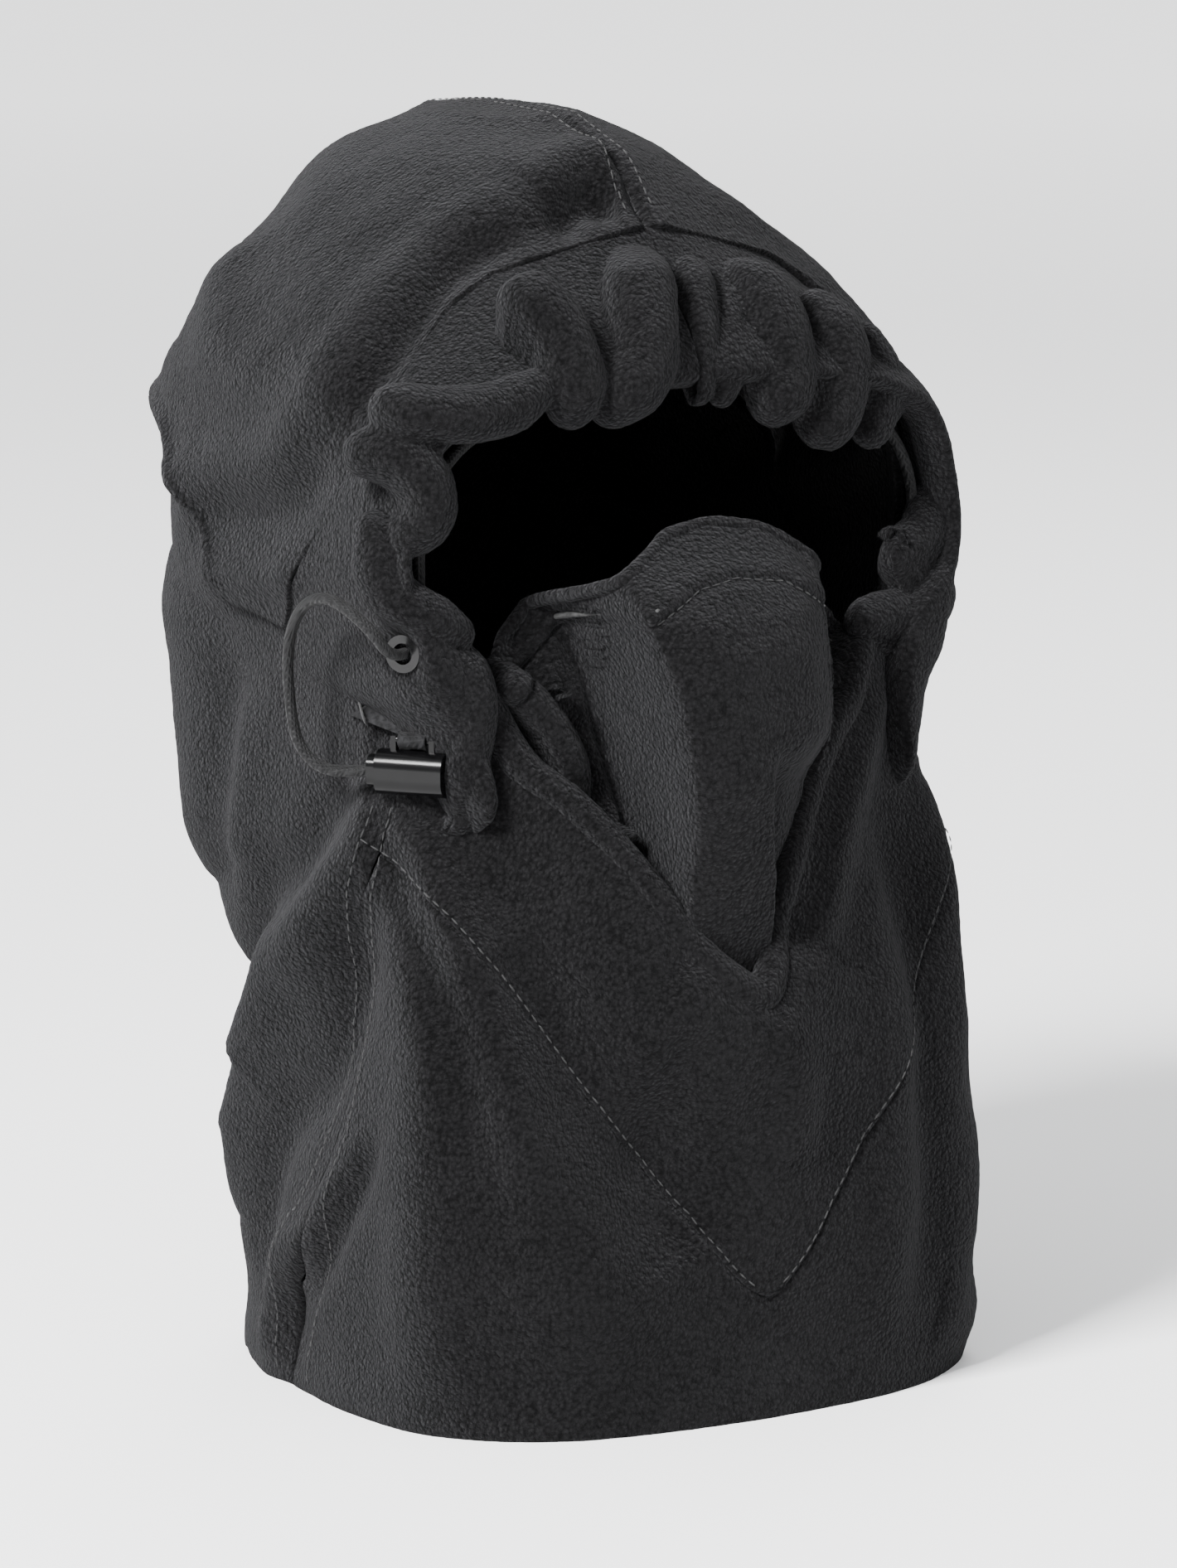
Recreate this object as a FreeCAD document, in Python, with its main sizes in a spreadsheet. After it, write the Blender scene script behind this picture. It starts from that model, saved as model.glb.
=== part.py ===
"""Hooded fleece balaclava with a drawcord face opening, modelled in millimetres.

Frame: +Z up, the face looks along -Y, the wearer's right side is -X. The origin is the centre of
the hem's footprint, on the surface that the hem stands on.
"""
import FreeCAD, Part
import math
import os
import Sketcher

from FreeCAD import Placement, Rotation, Vector

doc = FreeCAD.newDocument("Balaclava")

# ---------------------------------------------------------------- driving dimensions
SIZES = {
    "cloth": 3.0,               # thickness of the brushed fleece
    "cloth_gap": 0.5,           # air between the mask's cheeks and the hood's inside
    "rim_front_height": 186.7,  # height of the hood's lower rim where it crosses y = 0
    "rim_slope": 0.439,         # rise of the rim towards the back, per mm
    "side_seam_top": 159.0,     # height at which the side seam meets side_seam_setback
    "side_seam_setback": 9.0,   # how far the side seam's top lies behind the jaw's front
    "side_seam_slope": 0.344,   # how far the side seam falls back, per mm of height
    "yoke_tip": 30.0,           # height of the bib seam's point on the chest
    "yoke_side": 140.0,         # height of the bib seam at yoke_reach
    "yoke_reach": 84.0,
    "band_lean": 0.45,          # lean of the brow band's seam, per mm of height
    "band_top": 284.0,          # height at which the brow band's seam meets band_setback
    "band_setback": 9.0,        # how far that point lies behind the cheek's front
    "opening_back": 20.0,       # y at which the cut for the face opening ends
    "neckline_bottom": 105.0,   # lowest point of the V neckline
    "neckline_mid": 142.0,
    "neckline_mid_half": 27.0,
    "neckline_top": 178.0,
    "neckline_top_half": 49.0,
    "roll_side": 72.0,          # half width between the rolled edge's centre lines
    "roll_proud": 1.4,          # how far the rolled edge's centre line lies ahead of the skin
    "roll_top": 254.0,          # height of the rolled edge's centre line at the brow
    "roll_bottom": 181.0,       # height of the rolled edge's lower ends
    "roll_brow_arc": 130.0,     # radius of the rolled edge over the brow
    "roll_corner_arc": 30.0,    # radius of the rolled edge at the temples
    "roll_thick": 8.0,          # radius of the rolled edge
    "cord_thick": 1.4,          # radius of the drawcord
    "cord_play": 0.6,           # clearance round the drawcord in its tunnel
    "cord_lead": 5.6,           # straight run of cord out of the eyelet
    "cord_turn": 4.2,           # radius of the turn from the tunnel into the eyelet
    "eyelet_height": 191.0,
    "eyelet_aim": 30.67,        # angle by which the eyelet looks forward of sideways, degrees
    "eyelet_bore": 2.6,
    "eyelet_neck": 3.4,
    "eyelet_flange": 4.6,
    "eyelet_lip": 0.8,          # thickness of the flange and of the washer
    "eyelet_reach": 3.2,        # length of the neck between flange and washer
    "lock_length": 17.5,
    "lock_height": 11.0,
    "lock_depth": 9.0,
    "lock_round": 4.2,          # edge radius of the oval barrel
    "lock_wall": 1.3,
    "lock_end": 3.0,            # thickness of the barrel's closed end
    "lock_standoff": 1.2,       # air between the barrel and the cloth
    "lock_level": 161.0,        # height of the barrel's centre line
    "lock_turn": 141.5,         # angle round the hood at which the barrel lies, degrees
    "plunger_play": 0.25,       # clearance round the plunger
    "plunger_length": 8.0,
    "plunger_proud": 2.6,       # how far the plunger stands out of the barrel
    "plunger_bore": 2.1,
    "spring_wire": 0.35,        # radius of the spring wire
    "spring_radius": 2.6,
    "spring_turns": 4.0,
    "lug_bar": 1.0,             # radius of the bar that the tab loops round
    "lug_span": 8.6,            # length of the bar between its posts
    "lug_post": 1.4,            # thickness of each post
    "lug_rise": 2.4,            # height of the bar's centre above the barrel
    "tab_play": 0.3,            # clearance between the tab's eye and the bar
    "tab_cloth": 0.7,           # thickness of the webbing
    "tab_width": 7.0,
    "tab_slant": 0.55,          # rise of the tab's upper end along the cloth
    "tack_level": 174.0,        # height of the tab's upper end
    "tack_turn": 158.0,         # angle round the hood of the tab's upper end, degrees
    "tack_long": 5.6,
    "tack_wide": 1.8,
    "tack_thick": 0.6,
    "beak_setback": 7.0,        # how far the beak's foot lies behind the cheek's front
    "cheek_back": 17.5,         # how far the mask's cheeks run behind the beak's foot
    "beak_point": 1.7,          # exponent of the beak sections, below 2 for a pointed nose
    "mask_hem": 11.0,           # depth of the casing along the mask's top edge
    "elastic_thick": 1.0,
    "label_wide": 9.0,
    "label_tall": 14.0,
    "label_thick": 0.5,
    "label_level": 193.0,
    "label_turn": 24.0,         # angle round the hood of the side label, degrees
    "care_wide": 22.0,
    "care_tall": 30.0,
    "care_level": 205.0,
    "care_gap": 0.5,            # air between the care label and the nape's inside
}

# Sections of the hood's outer skin: height, centre y, half width, half depth,
# squareness of the front half, squareness of the back half.
LEVELS = {
    "hem": (0.0, 0.0, 84.0, 78.0, 3.0, 3.0),
    "chest": (40.0, 0.0, 86.0, 80.0, 3.0, 3.0),
    "yoke": (80.0, 0.0, 83.0, 78.0, 3.0, 2.8),
    "neck": (135.0, 17.0, 82.0, 82.0, 2.8, 2.5),
    "jaw": (170.0, 31.0, 80.0, 82.0, 3.6, 2.4),
    "cheek": (215.0, 33.0, 86.0, 80.0, 4.0, 2.4),
    "brow": (248.0, 33.0, 85.0, 79.0, 3.2, 2.4),
    "temple": (268.0, 36.0, 76.0, 74.0, 2.4, 2.3),
    "crown": (288.0, 40.0, 56.0, 65.0, 2.0, 2.0),
    "peak": (302.0, 44.0, 38.0, 54.0, 2.0, 2.0),
    "top": (312.0, 44.0, 17.0, 30.0, 2.0, 2.0),
}
LEVEL_FIELDS = ("height", "centre", "half_wide", "half_deep", "front_square", "back_square")

# Sections of the mask's beak: height, half width, reach forward of the beak's foot.
BEAK = {
    "beak_base": (104.0, 14.0, 32.0),
    "beak_throat": (125.0, 22.0, 40.0),
    "beak_chin": (150.0, 31.0, 48.0),
    "beak_mouth": (172.0, 36.0, 52.0),
    "beak_nose": (190.0, 36.0, 48.0),
    "beak_bridge": (205.0, 31.0, 37.0),
    "beak_top": (222.0, 22.0, 18.0),
}
BEAK_FIELDS = ("height", "half_wide", "reach")

sheet = doc.addObject("Spreadsheet::Sheet", "Sizes")
row = 1


def put(alias, value):
    """Write one driving dimension into the sheet."""
    global row
    sheet.set("A%d" % row, alias)
    sheet.set("B%d" % row, str(value))
    sheet.setAlias("B%d" % row, alias)
    row += 1


for alias, value in SIZES.items():
    put(alias, value)
for level, values in LEVELS.items():
    for field, value in zip(LEVEL_FIELDS, values):
        put(level + "_" + field, value)
for level, values in BEAK.items():
    for field, value in zip(BEAK_FIELDS, values):
        put(level + "_" + field, value)
doc.recompute()


def size(alias):
    """Read one driving dimension back from the sheet."""
    return float(sheet.get(alias))


SECTION_POINTS = 28     # points of each section curve
REACH = 400.0           # half size of the boxes that stand for half spaces
LEVEL_STEPS = 2         # sections from one level to the next
CLOTH = size("cloth")
SIDES = {"right": -1.0, "left": 1.0}
# The drawcord is worked from the wearer's right; its left end is sewn into the casing.
WORKED = {"right": -1.0}
nodes = []


# ---------------------------------------------------------------- the hood's skin
def level_values(level):
    """The six numbers of one level, read from the sheet."""
    return [size(level + "_" + field) for field in LEVEL_FIELDS]


def slopes(rows, column):
    """Slopes of a curve through one column of the levels that never overshoots them."""
    steps = []
    for low, high in zip(rows, rows[1:]):
        steps.append((high[column] - low[column]) / (high[0] - low[0]))
    inner = []
    for before, after in zip(steps, steps[1:]):
        flat = before * after <= 0
        inner.append(0.0 if flat else 2.0 * before * after / (before + after))
    return [steps[0]] + inner + [steps[-1]]


def skin_values(height):
    """Section numbers at any height, on smooth curves through the levels."""
    rows = [level_values(level) for level in LEVELS]
    index = 0
    while index < len(rows) - 2 and height > rows[index + 1][0]:
        index += 1
    low = rows[index]
    high = rows[index + 1]
    gap = high[0] - low[0]
    share = (height - low[0]) / gap
    values = [height]
    for column in range(1, len(low)):
        tilt = slopes(rows, column)
        rise = share * share * (3.0 - 2.0 * share)
        start = share * (1.0 - share) ** 2 * gap * tilt[index]
        end = share * share * (share - 1.0) * gap * tilt[index + 1]
        values.append(low[column] + (high[column] - low[column]) * rise + start + end)
    return values


def front_of(level):
    """y of the skin's front at one level."""
    return size(level + "_centre") - size(level + "_half_deep")


def ring_point(values, turn, offset):
    """A point of a section: turn 0 is the wearer's left, 90 degrees is the face."""
    height, centre, wide, deep, front, back = values
    power = 2.0 / (front if math.sin(turn) > 0 else back)
    across = math.copysign(abs(math.cos(turn)) ** power, math.cos(turn))
    along = math.copysign(abs(math.sin(turn)) ** power, math.sin(turn))
    return Vector((wide + offset) * across, centre - (deep + offset) * along, height)


def closed_curve(points):
    """One smooth closed wire through the points."""
    curve = Part.BSplineCurve()
    curve.interpolate(Points=points, PeriodicFlag=True)
    return Part.Wire([curve.toShape()])


def section_heights():
    """Heights of the sections, LEVEL_STEPS of them to each gap between two levels."""
    levels = [size(level + "_height") for level in LEVELS]
    heights = []
    for low, high in zip(levels, levels[1:]):
        heights += [low + (high - low) * step / LEVEL_STEPS for step in range(LEVEL_STEPS)]
    return heights + levels[-1:]


def skin_solid(offset):
    """The hood's outer form grown by offset, flat at the hem and at the top."""
    wires = []
    heights = section_heights()
    for height in heights:
        values = skin_values(height)
        if height == heights[-1]:
            values[0] += offset
        turns = [2.0 * math.pi * i / SECTION_POINTS for i in range(SECTION_POINTS)]
        wires.append(closed_curve([ring_point(values, turn, offset) for turn in turns]))
    return Part.makeLoft(wires, True, False)


def skin_frame(height, degrees, side):
    """A point on the skin with its outward normal and the level tangent towards the face."""
    values = skin_values(height)
    turn = math.radians(degrees)
    step = math.radians(1.0)
    here = ring_point(values, turn, 0.0)
    ahead = ring_point(values, turn - step, 0.0)
    tangent = (ahead - here).normalize()
    normal = tangent.cross(Vector(0, 0, 1)).normalize()
    if normal.x * here.x < 0:
        normal = -normal
    if side > 0:
        here.x = -here.x
        tangent.x = -tangent.x
        normal.x = -normal.x
    return here, tangent, normal


# ---------------------------------------------------------------- cutting forms
def half_space(point, normal):
    """A large box that fills the side of a plane towards which the normal points."""
    block = Part.makeBox(2 * REACH, 2 * REACH, 2 * REACH, Vector(-REACH, -REACH, 0))
    block.Placement = Placement(point, Rotation(Vector(0, 0, 1), normal))
    return block


def front_prism(points, smooth):
    """A prism along Y in front of the hood, with the given outline in X and Z."""
    if smooth:
        wire = closed_curve(points)
    else:
        wire = Part.makePolygon(points + points[:1])
    return Part.Face(wire).extrude(Vector(0, REACH, 0))


def at_front(x, z):
    """A point of a front outline."""
    return Vector(x, size("opening_back") - REACH, z)


rim_normal = Vector(0, -size("rim_slope"), 1).normalize()
above_rim = half_space(Vector(0, 0, size("rim_front_height")), rim_normal)
seam_normal = Vector(0, -1, -size("side_seam_slope")).normalize()
seam_lead = front_of("jaw") + size("side_seam_setback")
ahead_of_seam = half_space(Vector(0, seam_lead, size("side_seam_top")), seam_normal)
band_normal = Vector(0, -1, -size("band_lean")).normalize()
band_lead = front_of("cheek") + size("band_setback")
ahead_of_band = half_space(Vector(0, band_lead, size("band_top")), band_normal)
wearer_right = half_space(Vector(0, 0, 0), Vector(-1, 0, 0))

opening_half = size("roll_side") - size("roll_thick")
opening_top = size("roll_top") - size("roll_thick")
corner_drop = size("roll_corner_arc") / 2.0
half_outline = [
    (size("neckline_mid_half"), size("neckline_mid")),
    (size("neckline_top_half"), size("neckline_top")),
    (opening_half, size("roll_top") - 2.0 * size("roll_corner_arc") + corner_drop),
    (opening_half * 0.85, opening_top - corner_drop / 2.0),
]
outline = [at_front(0, size("neckline_bottom"))]
outline += [at_front(x, z) for x, z in half_outline]
outline += [at_front(0, opening_top)]
outline += [at_front(-x, z) for x, z in reversed(half_outline)]
face_opening = front_prism(outline, True)

yoke_points = [
    at_front(0, size("yoke_tip")),
    at_front(size("yoke_reach"), size("yoke_side")),
    at_front(size("yoke_reach") * 2, size("yoke_side")),
    at_front(size("yoke_reach") * 2, REACH),
    at_front(-size("yoke_reach") * 2, REACH),
    at_front(-size("yoke_reach") * 2, size("yoke_side")),
    at_front(-size("yoke_reach"), size("yoke_side")),
]
above_yoke = front_prism(yoke_points, False)


# ---------------------------------------------------------------- the rolled edge and its tunnel
def eyelet_axis(side):
    """Unit vector out of the eyelet."""
    aim = math.radians(size("eyelet_aim"))
    return Vector(side * math.cos(aim), -math.sin(aim), 0.0)


def roll_plane():
    """y of the rolled edge's centre line, just ahead of the skin at the temple."""
    wide = size("cheek_half_wide")
    power = size("cheek_front_square")
    depth = (1.0 - (size("roll_side") / wide) ** power) ** (1.0 / power)
    return size("cheek_centre") - size("cheek_half_deep") * depth - size("roll_proud")


def roll_spine(side):
    """Edges of the rolled edge's centre line on one side, from the brow down to the temple."""
    plane = roll_plane()
    brow = size("roll_brow_arc")
    corner = size("roll_corner_arc")
    brow_z = size("roll_top") - brow
    corner_x = size("roll_side") - corner
    corner_z = brow_z + math.sqrt((brow - corner) ** 2 - corner_x ** 2)
    lean = math.asin(corner_x / (brow - corner))

    def on_arc(cx, cz, radius, angle):
        return Vector(side * (cx + radius * math.sin(angle)), plane, cz + radius * math.cos(angle))

    crest = on_arc(0, brow_z, brow, 0.0)
    joint = on_arc(0, brow_z, brow, lean)
    side_point = on_arc(corner_x, corner_z, corner, math.pi / 2)
    brow_mid = on_arc(0, brow_z, brow, lean / 2)
    corner_mid = on_arc(corner_x, corner_z, corner, (lean + math.pi / 2) / 2)
    edges = [Part.Arc(crest, brow_mid, joint).toShape()]
    edges.append(Part.Arc(joint, corner_mid, side_point).toShape())
    return edges, side_point


def tube(edges, radius):
    """A round tube along tangent edges."""
    spine = Part.Wire(edges)
    first = edges[0]
    start = first.valueAt(first.FirstParameter)
    heading = first.tangentAt(first.FirstParameter)
    ring = Part.Wire([Part.makeCircle(radius, start, heading)])
    return spine.makePipeShell([ring], True, False)


def eyelet_run(side):
    """Tunnel from the roll's side down, round a turn and out through the eyelet."""
    side_point = roll_spine(side)[1]
    axis = eyelet_axis(side)
    bend = size("cord_turn")
    low = Vector(side_point.x, side_point.y, size("eyelet_height") + bend)
    out = Vector(side_point.x, side_point.y, size("eyelet_height")) + axis * bend
    centre = low + axis * bend
    middle = centre + (Vector(0, 0, -1) - axis).normalize() * bend
    face = Vector(side_point.x, side_point.y, size("eyelet_height")) + axis * eyelet_face()
    edges = [Part.LineSegment(side_point, low).toShape()]
    edges.append(Part.Arc(low, middle, out).toShape())
    edges.append(Part.LineSegment(out, face).toShape())
    return edges, face


def sewn_run(side):
    """Tunnel from the roll's side straight down to the cord's sewn end."""
    side_point = roll_spine(side)[1]
    low = Vector(side_point.x, side_point.y, size("eyelet_height") + size("cord_turn"))
    return [Part.LineSegment(side_point, low).toShape()]


def eyelet_face():
    """Distance from the roll's centre line to the eyelet's outer face."""
    return size("roll_thick") + size("eyelet_lip")


def feature(label, shape):
    """Add one sub-part whose shape is set by Part's functions."""
    item = doc.addObject("Part::Feature", label)
    item.Label = label
    item.Shape = shape
    nodes.append(item)
    return item


def largest(shape):
    """The largest solid of a boolean's result."""
    return max(shape.Solids, key=lambda solid: solid.Volume)


def eyelet_place(side, along):
    """Placement with local Z along the eyelet's axis, at a distance from the roll's centre."""
    side_point = roll_spine(side)[1]
    axis = eyelet_axis(side)
    foot = Vector(side_point.x, side_point.y, size("eyelet_height")) + axis * along
    return Placement(foot, Rotation(Vector(0, 0, 1), axis))


def disc(side, radius, start, end):
    """A plain round plug on the eyelet's axis, used to clear room for the eyelet."""
    plug = Part.makeCylinder(radius, end - start)
    plug.Placement = eyelet_place(side, start)
    return plug


def washer_start():
    """Distance from the roll's centre line to the washer's inner face."""
    return size("roll_thick") - size("eyelet_reach") - size("eyelet_lip")


def build_rolls():
    """Rolled edge on each side of the brow, with the cord's tunnel and the right eyelet's seat."""
    bodies = {}
    washer_end = washer_start() + size("eyelet_lip")
    clear = 2 * size("roll_thick")
    for name, side in SIDES.items():
        edges, side_point = roll_spine(side)
        bottom = Vector(side_point.x, side_point.y, size("roll_bottom"))
        roll = tube(edges + [Part.LineSegment(side_point, bottom).toShape()], size("roll_thick"))
        bodies[name] = roll
        run = eyelet_run(side)[0] if name in WORKED else sewn_run(side)
        solid = roll.cut(tube(edges + run, size("cord_thick") + size("cord_play")))
        if name in WORKED:
            solid = solid.cut(disc(side, size("eyelet_neck"), washer_start(), clear))
            solid = solid.cut(disc(side, size("eyelet_flange"), washer_start(), washer_end))
            solid = solid.cut(disc(side, size("eyelet_flange"), size("roll_thick"), clear))
        feature("brow_roll_" + name, largest(solid))
    return bodies


# ---------------------------------------------------------------- cloth panels
def build_panels(rolls):
    """Hood, brow bands, neck panel and bib, cut from one skin so that their edges meet."""
    outer = skin_solid(0.0)
    inner = skin_solid(-CLOTH)
    skin = outer.cut(inner).cut(face_opening)
    for roll in rolls.values():
        skin = skin.cut(roll)
    upper = skin.common(above_rim)
    lower = skin.cut(above_rim)
    band = upper.common(ahead_of_band)
    hood = upper.cut(ahead_of_band)
    feature("hood_right_panel", largest(hood.common(wearer_right)))
    feature("hood_left_panel", largest(hood.cut(wearer_right)))
    feature("brow_band_right", largest(band.common(wearer_right)))
    feature("brow_band_left", largest(band.cut(wearer_right)))
    bib = lower.common(ahead_of_seam)
    feature("neck_back_panel", largest(lower.cut(ahead_of_seam)))
    beak = beak_solid(0.0)
    feature("bib_yoke", largest(bib.common(above_yoke).cut(beak)))
    feature("bib_lower_panel", largest(bib.cut(above_yoke)))


def beak_foot():
    """y of the centre of the beak's sections."""
    return front_of("cheek") + size("beak_setback")


def beak_solid(offset):
    """The mask's beak grown by offset, open at both ends when it is grown inwards."""
    wires = []
    power = 2.0 / size("beak_point")
    for level in BEAK:
        height = size(level + "_height")
        wide = size(level + "_half_wide") + offset
        deep = size(level + "_reach") + offset
        if offset < 0 and level == "beak_base":
            height -= CLOTH
        if offset < 0 and level == "beak_top":
            height += CLOTH
        points = []
        for i in range(SECTION_POINTS):
            turn = 2.0 * math.pi * i / SECTION_POINTS
            across = math.copysign(abs(math.cos(turn)) ** power, math.cos(turn))
            along = math.copysign(abs(math.sin(turn)) ** power, math.sin(turn))
            points.append(Vector(wide * across, beak_foot() - deep * along, height))
        wires.append(closed_curve(points))
    return Part.makeLoft(wires, True, False)


def mask_arch(drop):
    """Prism under the mask's arched top edge, lowered by drop."""
    top = size("beak_top_height") - CLOTH - drop
    shoulder = size("beak_bridge_height") - drop
    wing = size("roll_bottom") + size("eyelet_flange") - drop
    low = size("neckline_bottom")
    reach = size("roll_side")
    half = [(size("beak_bridge_half_wide"), shoulder), (reach, wing - CLOTH), (reach, low)]
    points = [at_front(0, top)] + [at_front(x, z) for x, z in half]
    points += [at_front(-x, z) for x, z in reversed(half)]
    return front_prism(points, False)


def build_mask(rolls):
    """Beak over the nose, its elastic casing, and a cheek on each side inside the hood."""
    lining_out = skin_solid(-CLOTH - size("cloth_gap"))
    lining_in = skin_solid(-2 * CLOTH - size("cloth_gap"))
    beak_out = beak_solid(0.0)
    shell = beak_out.cut(beak_solid(-CLOTH)).cut(lining_out).common(mask_arch(0.0))
    elastic_out = beak_solid(-size("elastic_thick"))
    elastic_in = beak_solid(-2 * size("elastic_thick"))
    hem = shell.cut(mask_arch(size("mask_hem")))
    slot = mask_arch(size("elastic_thick")).cut(mask_arch(size("mask_hem") - size("elastic_thick")))
    elastic = hem.common(elastic_out.cut(elastic_in)).common(slot)
    elastic = largest(elastic)
    feature("mask_elastic", elastic)
    feature("mask_top_casing", largest(hem.cut(elastic)))
    feature("mask_nose_panel", largest(shell.common(mask_arch(size("mask_hem")))))
    front = half_space(Vector(0, beak_foot() + size("cheek_back"), 0), Vector(0, -1, 0))
    cheek = lining_out.cut(lining_in).common(mask_arch(0.0)).common(front).cut(beak_out)
    for roll in rolls.values():
        cheek = cheek.cut(roll)
    feature("mask_cheek_right", largest(cheek.common(wearer_right)))
    feature("mask_cheek_left", largest(cheek.cut(wearer_right)))


# ---------------------------------------------------------------- drawcord
# Hand-set route of the right loop, between a short lead out of the eyelet and the lock's mouth.
# It hangs in a limp bight clear of the hood.
LOOP_ROUTE = [
    (-89.0, -43.0, 197.0),
    (-92.4, -38.2, 202.0),
    (-94.4, -30.4, 204.8),
    (-95.0, -21.0, 202.4),
    (-94.6, -13.4, 195.2),
    (-93.6, -9.6, 186.0),
    (-92.6, -9.0, 176.5),
    (-91.9, -10.1, 167.6),
    (-89.6, -13.4, 161.9),
    (-85.9, -18.8, 159.4),
]
BEND_SHARE = 0.45


def rounded_route(points, label):
    """Straight runs joined by tangent arcs, each as large as its two runs allow."""
    edges = []
    start = points[0]
    radii = []
    for before, corner, after in zip(points, points[1:], points[2:]):
        into = corner - before
        away = after - corner
        turn = into.getAngle(away)
        leg = BEND_SHARE * min(into.Length, away.Length)
        radii.append(leg / math.tan(turn / 2))
        entry = corner - into.normalize() * leg
        leave = corner + away.normalize() * leg
        inward = ((entry + leave) * 0.5 - corner).normalize()
        sag = radii[-1] * (1 / math.cos(turn / 2) - 1)
        edges.append(Part.LineSegment(start, entry).toShape())
        edges.append(Part.Arc(entry, corner + inward * sag, leave).toShape())
        start = leave
    edges.append(Part.LineSegment(start, points[-1]).toShape())
    print(label, "radii", [round(radius, 1) for radius in radii])
    return edges


def build_cords():
    """The drawcord in its tunnel and the free loop on the worked side."""
    halves = []
    for name, side in SIDES.items():
        run = eyelet_run(side)[0] if name in WORKED else sewn_run(side)
        halves.append(tube(roll_spine(side)[0] + run, size("cord_thick")))
    for name, side in WORKED.items():
        face = eyelet_run(side)[1]
        route = [Vector(side * -x, y, z) for x, y, z in LOOP_ROUTE]
        end, heading = lock_mouth(side)
        lead = face + eyelet_axis(side) * size("cord_lead")
        points = [face, lead] + route + [end]
        edges = rounded_route(points, name + " loop")
        loop = tube(edges, size("cord_thick"))
        length = sum(edge.Length for edge in edges)
        section = math.pi * size("cord_thick") ** 2
        print(name, "loop length", round(length, 1), "volume share",
              round(loop.Volume / (section * length), 4))
        feature(name + "_cord_loop", loop)
    feature("face_cord", largest(halves[0].fuse(halves[1])))


# ---------------------------------------------------------------- eyelets
def ring_pad(body, tag, outer, inner, length, lift):
    """Pad a ring whose radii and length are cells of the sheet."""
    plane = [f for f in body.Origin.OriginFeatures if f.Role == "XY_Plane"][0]
    sketch = body.newObject("Sketcher::SketchObject", tag + "_ring")
    sketch.AttachmentSupport = [(plane, "")]
    sketch.MapMode = "FlatFace"
    sketch.AttachmentOffset = Placement(Vector(0, 0, lift), Rotation())
    for index, alias in enumerate((outer, inner)):
        circle = Part.Circle(Vector(0, 0, 0), Vector(0, 0, 1), size(alias))
        sketch.addGeometry(circle, False)
        sketch.addConstraint(Sketcher.Constraint("Coincident", index, 3, -1, 1))
        sketch.addConstraint(Sketcher.Constraint("Radius", index, size(alias)))
        sketch.setExpression("Constraints[%d]" % (2 * index + 1), "<<Sizes>>." + alias)
    pad = body.newObject("PartDesign::Pad", tag + "_pad")
    pad.Profile = sketch
    pad.setExpression("Length", "<<Sizes>>." + length)
    return pad


def build_eyelets():
    """A flanged barrel and a washer behind the cloth."""
    for name, side in WORKED.items():
        barrel = doc.addObject("PartDesign::Body", name + "_eyelet_barrel")
        barrel.Label = name + "_eyelet_barrel"
        ring_pad(barrel, name + "_neck", "eyelet_neck", "eyelet_bore", "eyelet_reach",
                 -size("eyelet_reach"))
        ring_pad(barrel, name + "_flange", "eyelet_flange", "eyelet_bore", "eyelet_lip", 0.0)
        barrel.Placement = eyelet_place(side, size("roll_thick"))
        nodes.append(barrel)
        washer = doc.addObject("PartDesign::Body", name + "_eyelet_washer")
        washer.Label = name + "_eyelet_washer"
        ring_pad(washer, name + "_washer", "eyelet_flange", "eyelet_bore", "eyelet_lip", 0.0)
        washer.Placement = eyelet_place(side, washer_start())
        nodes.append(washer)


# ---------------------------------------------------------------- cord locks
def lock_frame(side):
    """Centre and axes of a lock: along the barrel towards the face, outward, and the placement."""
    here, tangent, normal = skin_frame(size("lock_level"), size("lock_turn"), side)
    centre = here + normal * (size("lock_standoff") + size("lock_depth") / 2)
    turn = Rotation(tangent, Vector(0, 0, 1).cross(tangent), Vector(0, 0, 1), "XYZ")
    return centre, tangent, normal, Placement(centre, turn)


def lock_mouth(side):
    """Where the cord ends, just short of the plunger, and its heading into the lock."""
    centre, tangent, normal, place = lock_frame(side)
    proud = size("lock_length") / 2 + size("plunger_proud") + size("tab_play")
    return centre - tangent * proud, tangent


def cell(text):
    """An expression on the sheet's cells, each written as $name."""
    return text.replace("$", "<<Sizes>>.")


def block(tag, length, width, height, start, across, rounded):
    """A box along local X, centred in Y and Z unless moved, with its long edges rounded."""
    box = doc.addObject("Part::Box", tag)
    box.setExpression("Length", cell(length))
    box.setExpression("Width", cell(width))
    box.setExpression("Height", cell(height))
    box.setExpression("Placement.Base.x", cell(start))
    box.setExpression("Placement.Base.y", cell("-(" + width + ") / 2"))
    box.setExpression("Placement.Base.z", cell(across))
    doc.recompute()
    if rounded is None:
        return box
    soft = doc.addObject("Part::Fillet", tag + "_round")
    soft.Base = box
    long_edges = []
    for index, edge in enumerate(box.Shape.Edges, 1):
        if abs(edge.tangentAt(edge.FirstParameter).x) > 0.9:
            long_edges.append((index, rounded, rounded))
    soft.Edges = long_edges
    doc.recompute()
    return soft


def rod(tag, radius, length, start, lift):
    """A cylinder along local X."""
    item = doc.addObject("Part::Cylinder", tag)
    item.setExpression("Radius", cell(radius))
    item.setExpression("Height", cell(length))
    item.Placement = Placement(Vector(0, 0, 0), Rotation(Vector(0, 1, 0), 90))
    item.setExpression("Placement.Base.x", cell(start))
    item.setExpression("Placement.Base.z", cell(lift))
    return item


def combine(kind, tag, base, tool):
    """One boolean of two document objects."""
    item = doc.addObject("Part::" + kind, tag)
    item.Base = base
    item.Tool = tool
    doc.recompute()
    return item


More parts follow.
